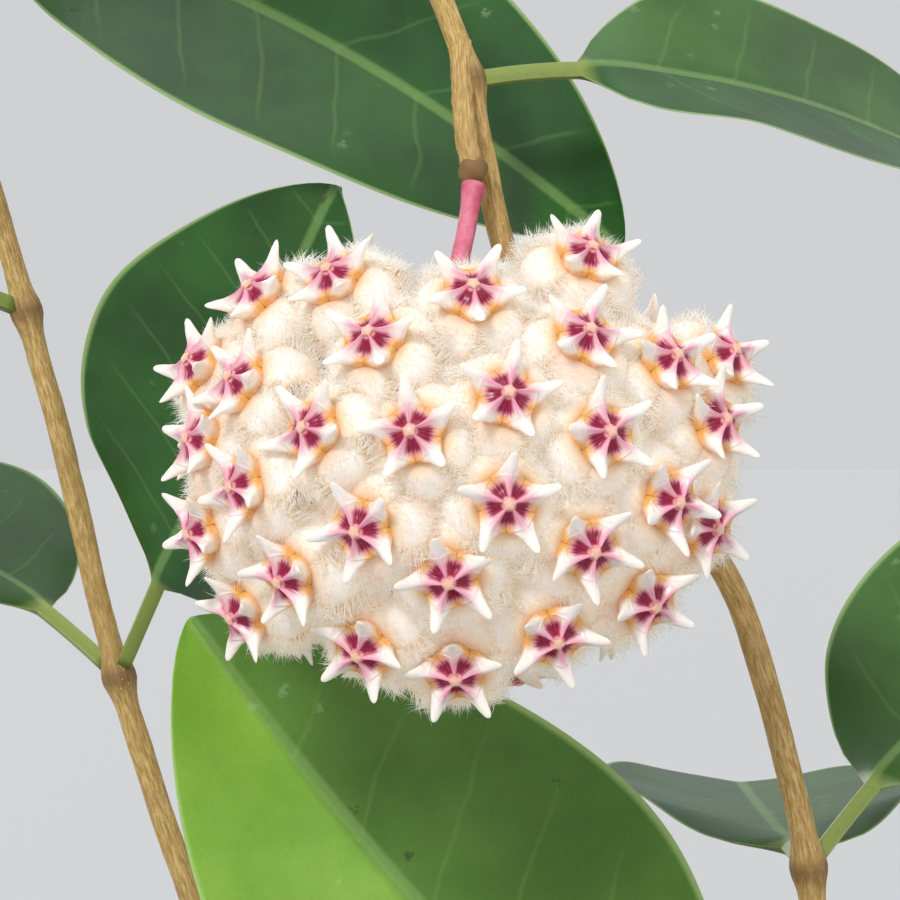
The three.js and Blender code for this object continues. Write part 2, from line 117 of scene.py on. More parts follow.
class Finish:  # a material with its nodes
    def __init__(self, name):
        self.material = bpy.data.materials.new(name)
        self.material.use_nodes = True
        self.tree = self.material.node_tree
        self.tree.nodes.clear()

    def node(self, kind, settings=None, sockets=None, output=0):
        made = self.tree.nodes.new(kind)
        for name, value in (settings or {}).items():
            if name == "stops":
                self.setStops(made.color_ramp, value)
            else:
                setattr(made, name, value)
        for name, value in (sockets or {}).items():
            socket = made.inputs[name]
            if isinstance(value, Reading):
                self.tree.links.new(value.socket, socket)
            elif socket.type == "RGBA":
                socket.default_value = (*self.asColour(value), 1)
            else:
                socket.default_value = value
        return Reading(self, made.outputs[output]) if made.outputs else made

    def asColour(self, value):
        return linearColour(value) if isinstance(value, str) else tuple(value)[:3]

    def setStops(self, ramp, stops):
        while len(ramp.elements) < len(stops):
            ramp.elements.new(1)
        for element, (place, colour) in zip(ramp.elements, stops):
            element.position = place
            element.color = (*self.asColour(colour), 1)

    def sum(self, operation, *values):
        wide = any(isinstance(v, tuple) or isinstance(v, Reading) and v.isWide() for v in values)
        if wide:
            values = [(v, v, v) if isinstance(v, (int, float)) else v for v in values]
        kind = "ShaderNodeVectorMath" if wide else "ShaderNodeMath"
        return self.node(kind, {"operation": operation}, dict(enumerate(values)))

    def mix(self, share, first, second):
        return self.node("ShaderNodeMix", {"data_type": "RGBA"}, {0: share, 6: first, 7: second}, 2)

    def layered(self, colour, layers):  # each layer is a mask, and what it lays over the colour
        for mask, above in layers:
            colour = self.mix(mask, colour, above)
        return colour

    def ramp(self, share, stops):
        return self.node("ShaderNodeValToRGB", {"stops": stops}, {"Fac": share})

    def painted(self, *names):
        readings = [self.node("ShaderNodeAttribute", {"attribute_name": name}, None, "Fac") for name in names]
        return readings if len(names) > 1 else readings[0]

    def place(self):  # the piece's own coordinates in millimetres
        return self.node("ShaderNodeTexCoord", None, None, "Object") * (1 / mm)

    def height(self, vector):
        return self.node("ShaderNodeSeparateXYZ", None, {0: vector}, "Z")

    def together(self, x, y, z):
        return self.node("ShaderNodeCombineXYZ", None, {0: x, 1: y, 2: z})

    def noise(self, vector, scale, detail=2.0, roughness=0.5, distortion=0.0):
        sockets = {"Vector": vector, "Scale": scale, "Detail": detail,
                   "Roughness": roughness, "Distortion": distortion}
        return self.node("ShaderNodeTexNoise", None, sockets)

    def cells(self, vector, scale, feature="F1"):
        sockets = {"Vector": vector, "Scale": scale}
        return self.node("ShaderNodeTexVoronoi", {"feature": feature}, sockets, "Distance")

    def relief(self, height, depth, strength):  # depth in millimetres
        sockets = {"Height": height, "Distance": depth * mm, "Strength": strength}
        return self.node("ShaderNodeBump", None, sockets)

    def surface(self, sockets):
        shader = self.node("ShaderNodeBsdfPrincipled", None, {"Subsurface Scale": 1.0, **sockets})
        self.node("ShaderNodeOutputMaterial", None, {"Surface": shader})
        return self.material


# Shapes
def unit(vectors):
    vectors = np.asarray(vectors, float)
    return vectors / np.maximum(np.linalg.norm(vectors, axis=-1, keepdims=True), 1e-9)


def smoothstep(value, low, high):
    t = np.clip((np.asarray(value, float) - low) / (high - low), 0, 1)
    return t * t * (3 - 2 * t)


def curveThrough(pairs, at):  # the smooth line through a few (place, value) pairs
    places, values = (np.array(column, float) for column in zip(*pairs))
    slopes = np.gradient(values, places)
    at = np.clip(at, places[0], places[-1])
    i = np.clip(np.searchsorted(places, at) - 1, 0, len(places) - 2)
    gap = places[i + 1] - places[i]
    t = (at - places[i]) / gap
    start = (2 * t**3 - 3 * t**2 + 1) * values[i] + (t**3 - 2 * t**2 + t) * gap * slopes[i]
    end = (3 * t**2 - 2 * t**3) * values[i + 1] + (t**3 - t**2) * gap * slopes[i + 1]
    return start + end


class Route:  # a smooth line in space, read by how far along it a point lies
    def __init__(self, points):
        steps = np.linalg.norm(np.diff(points, axis=0), axis=1)
        self.points = np.asarray(points, float)
        self.lengths = np.concatenate([[0], np.cumsum(steps)])
        self.length = self.lengths[-1]

    def at(self, share):
        along = np.asarray(share, float) * self.length
        return np.stack([np.interp(along, self.lengths, column) for column in self.points.T], -1)

    def heading(self, share):
        low = np.clip(np.asarray(share, float) - 0.002, 0, 0.996)
        return unit(self.at(low + 0.004) - self.at(low))

    def shareAtHeight(self, height):
        spaced = self.at(np.linspace(0, 1, 401))
        return int(np.argmax(spaced[:, 2] >= height)) / 400


def throughPoints(points):  # centripetal Catmull-Rom, which keeps even bends between uneven points
    points = np.array(points, float)
    knots = np.vstack([2 * points[0] - points[1], points, 2 * points[-1] - points[-2]])
    t = np.linspace(0, 1, 60, endpoint=False)[:, None]
    spans = []
    for a, b, c, d in zip(knots, knots[1:], knots[2:], knots[3:]):
        ab, bc, cd = (np.linalg.norm(q - p) ** 0.5 for p, q in ((a, b), (b, c), (c, d)))
        leave = ((b - a) / ab - (c - a) / (ab + bc) + (c - b) / bc) * bc
        arrive = ((c - b) / bc - (d - b) / (bc + cd) + (d - c) / cd) * bc
        bend = -3 * b + 3 * c - 2 * leave - arrive
        spans.append(b + leave * t + bend * t**2 + (2 * b - 2 * c + leave + arrive) * t**3)
    return Route(np.vstack([*spans, points[-1:]]))


def throughBend(foot, bend, tip):
    t = np.linspace(0, 1, 200)[:, None]
    foot, bend, tip = (np.array(point, float) for point in (foot, bend, tip))
    return Route((1 - t) ** 2 * foot + 2 * t * (1 - t) * bend + t**2 * tip)


def meshFrom(name, points, faces):  # points in millimetres
    mesh = bpy.data.meshes.new(name)
    mesh.from_pydata((np.asarray(points, float) * mm).tolist(), [], faces)
    return mesh


def addObject(name, data):
    made = bpy.data.objects.new(name, data)
    bpy.context.scene.collection.objects.link(made)
    return made


class Form:  # gathers points, faces and painted values of several forms into one mesh
    def __init__(self):
        self.points = []
        self.faces = []
        self.paints = {}
        self.count = 0

    def add(self, points, faces, **paints):
        points = np.asarray(points, float).reshape(-1, 3)
        self.points.append(points)
        self.faces += [tuple(corner + self.count for corner in face) for face in faces]
        for name, values in paints.items():
            values = np.broadcast_to(np.ravel(values), len(points))
            self.paints.setdefault(name, []).append(values)
        self.count += len(points)

    def addLoft(self, sections, faces=None, **paints):
        grid = sections.shape[:2]
        paints = {name: np.broadcast_to(values, grid) for name, values in paints.items()}
        self.add(sections, faces or loftFaces(*grid), **paints)

    def mesh(self, name):
        return meshFrom(name, np.vstack(self.points), self.faces)

    def piece(self, name, finish, slot, nodes, place=None, smooth=True):
        mesh = self.mesh(name)
        for paint, values in self.paints.items():
            layer = mesh.attributes.new(paint, "FLOAT", "POINT")
            layer.data.foreach_set("value", np.concatenate(values).astype(np.float32))
        if smooth:
            mesh.shade_smooth()
        mesh.materials.append(finish)
        piece = addObject(name, mesh)
        if place is not None:
            piece.matrix_world = place
        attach(piece, "root")
        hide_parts(*nodes)
        return piece


def loftFaces(rows, around, capped=True):
    faces = []
    for row in range(rows - 1):
        for i in range(around):
            j = (i + 1) % around
            a, b = row * around, (row + 1) * around
            faces.append((a + i, a + j, b + j, b + i))
    if capped:
        faces.append(tuple(range(around))[::-1])
        faces.append(tuple(range((rows - 1) * around, rows * around)))
    return faces


def ringAngles(count):
    return np.arange(count) * 2 * math.pi / count


def polar(radius, angle, height):  # points round the vertical axis
    return np.stack(np.broadcast_arrays(radius * np.cos(angle), radius * np.sin(angle), height), -1)


def crossFrames(headings, toward):
    aside = unit(np.cross(headings, toward))
    return aside, np.cross(aside, headings)


def tubeSections(route, shares, radii, sides, toward=(0, -1, 0)):
    aside, above = crossFrames(route.heading(shares), toward)
    angles = ringAngles(sides)
    radii = np.asarray(radii, float)
    radii = radii[:, None] if radii.ndim == 1 else radii
    around = np.cos(angles)[None, :, None] * aside[:, None] + np.sin(angles)[None, :, None] * above[:, None]
    return route.at(shares)[:, None] + around * radii[..., None]


def ballSections(radius, rows, around, waves):  # waves: height of each bump, and its turns around and up
    turn = ringAngles(around)
    rise = np.linspace(-0.98, 0.98, rows)[:, None] * math.pi / 2
    bumps = 1 + sum(height * np.sin(turn * turns + rise * steps) for height, turns, steps in waves)
    return polar(np.cos(rise), turn, np.sin(rise)) * bumps[..., None] * radius


hair = {
    "sides": 3,
    "stations": [(0.0, 1.0), (0.35, 0.82), (0.7, 0.5)],  # how far along, and how thick there
}


def addHairs(form, roots, headings, bends, lengths, radii):  # tapered, curved hairs with sharp ends
    headings = unit(headings)
    aside = unit(np.cross(headings, headings[:, [1, 2, 0]] + 0.3))
    above = np.cross(headings, aside)
    lengths, radii = (np.broadcast_to(v, len(roots))[:, None] for v in (lengths, radii))
    sides, stations = hair["sides"], hair["stations"]
    rings = []
    for share, thick in stations:
        middle = roots + headings * lengths * share + bends * lengths * share**2
        for angle in ringAngles(sides):
            out = aside * math.cos(angle) + above * math.sin(angle)
            rings.append(middle + out * radii * thick)
    points = np.stack([*rings, roots + headings * lengths + bends * lengths], 1)
    each = points.shape[1]
    last = each - 1 - sides
    single = loftFaces(len(stations), sides, capped=False)
    single += [(last + i, last + (i + 1) % sides, each - 1) for i in range(sides)]
    faces = [tuple(c + n * each for c in face) for n in range(len(roots)) for face in single]
    tall = np.array([share for share, _ in stations for _ in range(sides)] + [1.0])
    form.add(points, faces, tall=np.tile(tall, len(roots)))


# Where each flower stands. The picture's pixels place those that it shows.
head = {
    "centre": (-6.0, -24.0, 196.0),
    "halfWidth": 34.0,
    "halfHeight": 29.0,
    "halfDepth": 31.0,
    "pixelMiddle": (455, 462),
    "pixelSize": 0.11,
    "eyeDistance": 330.0,
    "leastRise": 0.26,
    "stars": [  # middle of the star across and down, angle of one lobe
        (593, 245, 87), (326, 267, 77), (248, 284, 50), (473, 283, 56), (367, 330, 71), (591, 327, 77),
        (186, 358, 88), (228, 375, 60), (678, 353, 111), (736, 349, 105), (509, 390, 79), (301, 426, 122),
        (409, 429, 97), (611, 430, 107), (727, 418, 99), (186, 437, 84), (229, 486, 114), (509, 503, 88),
        (680, 502, 63), (719, 529, 43), (187, 534, 77), (354, 531, 114), (595, 552, 56), (277, 582, 161),
        (448, 583, 110), (656, 607, 42), (230, 619, 112), (356, 656, 79), (455, 680, 97), (558, 643, 147),
    ],
    "rearCount": 12,
    "rearStart": 117,
    "rearSpan": 306,
    "rearPolar": 95,
    "rearShrink": 0.87,
    "rearTurn": 135,
    "rearNod": 0.95,
    "turnLeft": (75, 25),  # degrees at most, and the way from the middle that eases it
    "turnRight": (80, 45),
    "nodUp": (5, 45, 20),
}


def frontPlace(pixelX, pixelY):
    across = (pixelX - head["pixelMiddle"][0]) * head["pixelSize"]
    up = (head["pixelMiddle"][1] - pixelY) * head["pixelSize"]
    eye = head["eyeDistance"]
    nearer = 0.0
    for _ in range(8):
        scale = (eye - nearer) / eye
        spread = math.hypot(across * scale / head["halfWidth"], up * scale / head["halfHeight"])
        nearer = head["halfDepth"] * math.sqrt(max(1 - spread**2, head["leastRise"] ** 2))
    scale = (eye - nearer) / eye
    return Vector((across * scale, -nearer, up * scale))


def rearPlace(index):
    around = math.radians(head["rearStart"] + head["rearSpan"] * index / (head["rearCount"] - 1))
    polar = math.radians(head["rearPolar"])
    side = math.sin(polar)
    place = Vector((
        head["halfWidth"] * side * math.cos(around),
        -head["halfDepth"] * math.cos(polar),
        head["halfHeight"] * side * math.sin(around),
    ))
    return place * head["rearShrink"]


def frontFacing(place):
    most, ease = head["turnLeft"] if place.x < 0 else head["turnRight"]
    turn = math.radians(most * math.tanh(place.x / ease))
    least, most, ease = head["nodUp"]
    nod = math.radians(least + most * math.tanh(place.z / ease))
    return Vector((math.sin(turn) * math.cos(nod), -math.cos(turn) * math.cos(nod), math.sin(nod)))


def rearFacing(place):
    toFront = Vector((0, -1, 0))
    outward = Vector((
        place.x / head["halfWidth"] ** 2,
        place.y / head["halfDepth"] ** 2,
        place.z / head["halfHeight"] ** 2,
    )).normalized()
    axis = toFront.cross(outward).normalized()
    return Matrix.Rotation(toFront.angle(outward) * head["rearNod"], 3, axis) @ toFront


def flowerPlaces():
    places = []
    for pixelX, pixelY, degrees in head["stars"]:
        place = frontPlace(pixelX, pixelY)
        look = frontFacing(place)
        x, z = math.cos(math.radians(degrees)), math.sin(math.radians(degrees))
        places.append((place, look, Vector((x, -(x * look.x + z * look.z) / look.y, z)).normalized()))
    for i in range(head["rearCount"]):
        place = rearPlace(i)
        look = rearFacing(place)
        start = Vector((0, 0, 1)).cross(look).normalized()
        places.append((place, look, Matrix.Rotation(math.radians(head["rearTurn"] * i), 3, look) @ start))
    matrices = []
    for place, look, lobe in places:
        turn = Matrix((lobe, look.cross(lobe), look)).transposed().to_4x4()
        matrices.append(Matrix.Translation((place + Vector(head["centre"])) * mm) @ turn)
    return matrices


def turnedBy(points, angle):
    c, s = math.cos(angle), math.sin(angle)
    x, y, z = np.moveaxis(points, -1, 0)
    return np.stack([x * c - y * s, x * s + y * c, z], -1)


# The star: five waxy keels round a ribbed knob, with stained hollows between them
star = {
    "lobeCount": 5,
    "ridge": [(0.25, 0.24), (0.8, 0.26), (1.6, 0.12), (2.6, 0.14), (3.8, 0.36), (4.8, 0.68), (5.45, 0.9)],
    "ridgeWidth": 0.36,  # as a share of the way to the valley
    "edge": [(0.25, 0.05), (0.8, -0.3), (1.4, -0.72), (2.0, -0.95), (2.6, -1.08), (3.0, -1.2), (3.4, -1.02),
             (3.8, -0.66), (4.4, -0.06), (4.9, 0.34), (5.45, 0.76)],
    "lobeHalf": [(3.0, 0.94), (3.8, 0.8), (4.3, 0.7), (4.8, 0.54), (5.45, 0.34)],
    "keel": [(2.8, -1.4), (3.0, -2.3), (3.3, -2.2), (3.8, -1.3), (4.4, -0.46), (4.9, 0.06), (5.45, 0.62)],
    "keelFrom": 2.8,
    "innermost": 0.25,
    "footRadius": 3.0,
    "fillet": 1.0,  # how far out the hollow round between two lobes reaches
    "wallRound": 0.08,  # how round the foot's side is: 0 is a wall, and 1 the round keel of a lobe
    "roundFrom": 2.4,
    "roundAt": 4.0,
    "tip": 5.45,
    "tipRound": 0.42,
    "knobRadius": 0.66,
    "knobHeight": 0.34,
    "knobFoot": 0.1,
    "knobRib": 0.13,
    "knobRows": 9,
    "knobAround": 40,
    "innerStations": 22,
    "filletStations": 18,
    "lobeStations": 10,
    "tipStations": 10,
    "topShare": 0.68,  # how much of the way from ridge to keel the top face takes
    "halfAround": 18,
    "scatterOver": (3.0, 5.4),
    "lengthScatter": 0.02,
    "swingScatter": 0.05,
    "liftScatter": 0.12,
}


def starStations():
    quarter = np.linspace(0, math.pi / 2, star["filletStations"])
    fillet = star["footRadius"] + star["fillet"] * (1 - np.cos(quarter))
    tip = star["tip"] - star["tipRound"] * (1 - np.sin(np.linspace(0, math.pi / 2, star["tipStations"])))
    inner = np.linspace(star["innermost"], star["footRadius"], star["innerStations"])[:-1]
    lobe = np.linspace(fillet[-1], tip[0], star["lobeStations"])[1:-1]
    return np.concatenate([inner, fillet, lobe, tip])


def starSection(reach, q):  # q runs from the ridge, 0, over the edge to the keel, 1
    sector = reach * math.sin(math.pi / star["lobeCount"])
    lobeHalf = curveThrough(star["lobeHalf"], reach)
    inFillet = 1 - np.clip((reach - star["footRadius"]) / star["fillet"], 0, 1)
    spread = 1 - np.sqrt(1 - inFillet**2)
    edgeHalf = np.where(reach <= star["footRadius"], sector, lobeHalf + (sector - lobeHalf) * spread)
    ridge, edge = curveThrough(star["ridge"], reach), curveThrough(star["edge"], reach)
    keel = np.where(reach < star["keelFrom"], edge, curveThrough(star["keel"], reach))
    blend = smoothstep(reach, star["roundFrom"], star["roundAt"])
    way = np.clip(q / star["topShare"], 0, 1)
    turn = way * math.pi / 2
    under = np.clip((q - star["topShare"]) / (1 - star["topShare"]), 0, 1) * math.pi / 2
    hollow = edge + (ridge - edge) * np.exp(-((way / star["ridgeWidth"]) ** 2))
    rounded = ridge + (edge - ridge) * (1 - np.cos(turn))
    outward = smoothstep(reach, star["footRadius"], star["roundAt"])
    side = np.cos(under) ** (star["wallRound"] + (1 - star["wallRound"]) * outward)
    sideways = edgeHalf * (way + (np.sin(turn) - way) * blend) * side
    height = hollow + (rounded - hollow) * blend + (keel - edge) * np.sin(under)
    past = np.clip((reach - star["tip"] + star["tipRound"]) / star["tipRound"], 0, 0.9998)
    rounding = np.sqrt(1 - past**2)
    middle = (ridge + keel) / 2
    return sideways * rounding, middle + (height - middle) * rounding


def starKnob():
    ribs = ringAngles(star["knobAround"])
    rise = np.linspace(0, 1, star["knobRows"])[:, None] * math.pi / 2
    radius = star["knobRadius"] * np.cos(rise * 0.98)
    radius = radius * (1 + star["knobRib"] * np.cos(star["lobeCount"] * ribs))
    return polar(radius, ribs, star["knobFoot"] + star["knobHeight"] * np.sin(rise)), radius


def makeStar(name, node, place, finish, chance):
    form = Form()
    half = star["halfAround"]
    q = np.linspace(0, 1, half + 1)
    sides = np.concatenate([q[::-1], q[1:-1]])  # keel, one flank, ridge, other flank
    signs = np.concatenate([np.ones(half), [0.0], -np.ones(half - 1)])
    gridReach, gridSide = np.meshgrid(starStations(), sides, indexing="ij")
    sideways, height = starSection(gridReach, gridSide)
    sideways = sideways * signs
    swing = np.arcsin(np.clip(sideways / gridReach, -1, 1)) * star["lobeCount"] / math.pi
    outer = smoothstep(gridReach, *star["scatterOver"])
    inward = np.sqrt(np.maximum(gridReach**2 - sideways**2, 0))
    for angle in ringAngles(star["lobeCount"]):
        out = inward * (1 + chance.normal(0, star["lengthScatter"]) * outer)
        across = sideways + chance.normal(0, star["swingScatter"]) * outer * out
        lift = chance.normal(0, star["liftScatter"]) * outer
        points = turnedBy(np.stack([out, across, height + lift], -1), angle)
        form.addLoft(points, reach=gridReach, flank=gridSide, swing=swing)
    knob, radius = starKnob()
    form.addLoft(knob, reach=radius * 0.6, flank=0.0, swing=0.0)
    return form.piece(name, finish, "corona", [node], place)


# The petals: five fleshy lobes bent right back under the star
petal = {
    "spine": [(0.5, -2.1), (2.3, -2.05), (3.9, -2.15), (5.1, -2.85), (5.95, -4.1), (6.3, -5.6), (6.1, -7.1),
              (5.4, -8.5)],
    "halfWidths": [0.4, 1.6, 2.5, 2.9, 2.7, 2.25, 1.7, 1.1],
    "arcs": [8, 11, 15, 19, 23, 27, 30, 30],  # degrees that half the width curls back
    "thickness": [0.8, 0.8, 0.8, 0.8, 0.8, 0.8, 0.7, 0.6],
    "edgeThickness": 0.35,  # as a share of the thickness, at the very tip
    "freeFrom": 0.36,  # where the petals begin to part, and where each stands alone
    "freeAt": 0.62,
    "overlap": 1.08,
    "crease": 0.35,
    "creaseOver": (0.2, 0.5),
    "roundFrom": 0.86,
    "growFrom": 0.4,  # how far along the petals begin to differ
    "dimple": 0.07,
    "dimpleWaves": (9, 3),
    "rows": 36,
    "around": 40,
    "sideRound": 0.8,
    "faceFlat": 0.45,
    "cup": [(3.2, -2.3), (3.7, -3.0), (3.1, -3.9), (1.6, -4.6), (0.8, -5.0), (0.5, -5.3)],
    "variety": {  # what differs from petal to petal: middle and spread
        "width": (0.96, 0.06),
        "curl": (1.0, 0.08),
        "flare": (-0.1, 0.28),
        "rise": (0.0, 0.22),
        "skew": (0.0, 0.25),
    },
}


def petalValues(column, along):
    stations = np.linspace(0, 1, len(column))
    return curveThrough(list(zip(stations, column)), along)


def petalSkin(along, across, depth, shape):  # depth 0 is the outer face and 1 the inner one
    reaches, heights = zip(*petal["spine"])
    reach, height = petalValues(reaches, along), petalValues(heights, along)
    ahead, behind = np.clip(along + 0.01, 0, 1), np.clip(along - 0.01, 0, 1)
    runOut = petalValues(reaches, ahead) - petalValues(reaches, behind)
    runUp = petalValues(heights, ahead) - petalValues(heights, behind)
    size = np.hypot(runOut, runUp)
    normalOut, normalUp = -runUp / size, runOut / size
    past = np.clip((along - petal["roundFrom"]) / (1 - petal["roundFrom"]), 0, 0.995)
    rounding = np.sqrt(1 - past**2)
    half = petalValues(petal["halfWidths"], along) * rounding * shape["width"]
    arc = np.radians(petalValues(petal["arcs"], along)) * shape["curl"]
    thinned = petal["edgeThickness"] + (1 - petal["edgeThickness"]) * rounding
    sunk = depth * petalValues(petal["thickness"], along) * thinned
    bow = half / np.sin(arc)
    lean = across * arc
    inward = bow * (1 - np.cos(lean)) + sunk * np.cos(lean)
    sideways = (bow - sunk) * np.sin(lean)
    alone = np.stack([reach - normalOut * inward, sideways, height - normalUp * inward], -1)
    swing = across * petal["overlap"] * math.pi / star["lobeCount"]
    ring = reach - normalOut * sunk
    dip = petal["crease"] * across**2 * smoothstep(along, *petal["creaseOver"])
    domed = polar(ring, swing, height - normalUp * sunk - dip)
    free = smoothstep(along, petal["freeFrom"], petal["freeAt"])[..., None]
    growth = smoothstep(along, petal["growFrom"], 1)
    alongWave, acrossWave = petal["dimpleWaves"]
    dimple = petal["dimple"] * np.sin(along * alongWave + across * acrossWave + shape["phase"])
    sway = np.stack([shape["flare"] * growth, shape["skew"] * growth, (shape["rise"] + dimple) * growth], -1)
    return domed + (alone - domed) * free + sway


def petalShapes(chance):
    shapes = []
    for angle in ringAngles(star["lobeCount"]):
        shape = {name: chance.normal(*spread) for name, spread in petal["variety"].items()}
        shape["angle"] = angle + math.pi / star["lobeCount"]
        shape["phase"] = chance.uniform(0, 6)
        shapes.append(shape)
    return shapes


def makePetals(name, place, finish, shapes, tint):
    form = Form()
    along = np.linspace(0, 1, petal["rows"])
    turn = ringAngles(petal["around"])
    gridAlong, gridTurn = np.meshgrid(along, turn, indexing="ij")
    across = np.sign(np.cos(gridTurn)) * np.abs(np.cos(gridTurn)) ** petal["sideRound"]
    depth = 0.5 - 0.5 * np.sign(np.sin(gridTurn)) * np.abs(np.sin(gridTurn)) ** petal["faceFlat"]
    faces = loftFaces(petal["rows"], petal["around"])
    for shape in shapes:
        skin = turnedBy(petalSkin(gridAlong, across, depth, shape), shape["angle"])
        form.addLoft(skin, faces, along=gridAlong, across=across, inner=depth, tint=tint)
    profile = np.array(petal["cup"])[::-1]
    cup = polar(profile[:, :1], turn, profile[:, 1:])
    form.addLoft(cup, along=0.3, across=0.0, inner=1.0, tint=tint)
    return form.piece(name, finish, "corolla", ["umbel"], place)


# Silky hairs that stand out along the edges of the petals, and a short down on their faces
fringe = {
    "perEdge": 90,
    "alongFrom": 0.34,
    "alongScatter": 0.008,
    "inset": 0.42,  # how far in from the edge the innermost hairs grow
    "crowding": 2.2,  # how much they crowd to the edge
    "rootDepth": 0.05,
    "outward": 0.8,
    "upright": 0.7,
    "forward": (0.2, 0.15),  # middle and spread, as in the next ones
    "rise": (0.25, 0.2),
    "bend": (0.2, 0.12),
    "droop": (0.2, 0.15),
    "scatter": 0.12,
    "length": (1.3, 2.9),
    "firstLength": 0.35,  # as a share of the full length, which the hairs reach further along the petal
    "fullLengthOver": (0.3, 0.5),
    "radius": 0.065,
    "downPerPetal": 420,
    "downAlong": (0.3, 0.98),
    "downAcross": 0.95,
    "downScatter": 0.3,
    "downBend": 0.25,
    "downLength": (0.5, 1.4),
    "downRadius": 0.028,
}


def edgeHairs(side, shape, chance):  # roots, headings, bends and lengths
    count = fringe["perEdge"]
    deep = fringe["rootDepth"]
    upward = np.array([0.0, 0.0, 1.0])
    along = np.linspace(fringe["alongFrom"], 1.0, count) + chance.normal(0, fringe["alongScatter"], count)
    along = np.clip(along, 0, 1)
    across = side * (1 - fringe["inset"] * chance.uniform(0, 1, count) ** fringe["crowding"])
    root = petalSkin(along, across, deep, shape)
    onward = petalSkin(np.clip(along + 0.01, 0, 1), across, deep, shape)
    back = petalSkin(np.clip(along - 0.01, 0, 1), across, deep, shape)
    outward = unit((root - petalSkin(along, across * 0.94, deep, shape)) * (1 - upward))
    normal = unit(root - petalSkin(along, across, 1.0, shape))
    heading = outward * fringe["outward"]
    heading = heading + unit(onward - back) * chance.normal(*fringe["forward"], (count, 1))
    heading = heading + normal * fringe["upright"] + upward * chance.normal(*fringe["rise"], (count, 1))
    heading = heading + chance.normal(0, fringe["scatter"], (count, 3))
    bend = outward * chance.normal(*fringe["bend"], (count, 1))
    bend = bend - upward * chance.normal(*fringe["droop"], (count, 1))
    first = fringe["firstLength"]
    lengths = chance.uniform(*fringe["length"], count)
    return root, heading, bend, lengths * (first + (1 - first) * smoothstep(along, *fringe["fullLengthOver"]))


def downHairs(shape, chance):
    count = fringe["downPerPetal"]
    along = chance.uniform(*fringe["downAlong"], count)
    across = chance.uniform(-fringe["downAcross"], fringe["downAcross"], count)
    root = petalSkin(along, across, 0.0, shape)
    heading = unit(root - petalSkin(along, across, 1.0, shape))
    heading = heading + chance.normal(0, fringe["downScatter"], (count, 3))
    bend = chance.normal(0, fringe["downBend"], (count, 3))
    return root, heading, bend, chance.uniform(*fringe["downLength"], count)


def makeFringe(name, place, finish, shapes, chance):
    form = Form()
    for shape in shapes:
        tufts = [(edgeHairs(side, shape, chance), fringe["radius"]) for side in (-1, 1)]
        tufts.append((downHairs(shape, chance), fringe["downRadius"]))
        for (*parts, lengths), radius in tufts:
            addHairs(form, *(turnedBy(part, shape["angle"]) for part in parts), lengths, radius)
    return form.piece(name, finish, "corolla", ["umbel"], place)


# Stems, routes and leaves
stems = {
    "main": [
        (33, 12, 61), (33, 12, 76), (33, 11.6, 91), (37, 6, 118), (36, 0, 146), (29.8, -4, 171.7),
        (25.8, -4.4, 182.2), (11.5, -4.4, 202), (0.4, -4, 219.3), (-2.7, -4, 232.4), (-6, -3, 246),
        (-14, 0, 262), (-27, 2, 272),
    ],
    "side": [
        (-23, 20, 61), (-23, 20, 76), (-23.6, 20.3, 91), (-34, 26, 125), (-48, 30, 165), (-58, 30, 205),
        (-68, 27, 240), (-79, 24, 268),
    ],
    "spur": [(-5.2, -3.2, 245), (-5.1, -5.8, 238), (-4.7, -7.4, 233.5), (-3.9, -8, 229.6)],
    "peduncle": [(-3.85, -8.3, 227.9), (-4.6, -10, 223), (-5.7, -13, 217), (-6, -19.5, 202.8)],
    "radius": 1.7,
    "tipRadius": 1.3,
    "tipTaper": 3.0,  # how far from its end a growing tip begins to close
    "spurRadii": (1.2, 1.32),
    "knotSwell": 0.75,
    "knotLength": 2.2,
    "knotStain": 1.6,
    "spurKnotRadius": 1.7,
    "spurKnotWave": (0.08, 3, 4),
    "peduncleRadius": 1.15,
    "peduncleSwell": (0.25, 0.3),  # at its knot and at the hub
    "dents": [(0.07, 3, 40), (0.05, 5, -90)],  # depth, and turns around and along
    "grain": 0.012,
    "step": 0.9,
    "sides": 20,
}
stemRoutes = {name: throughPoints(stems[name]) for name in ("main", "side", "spur", "peduncle")}

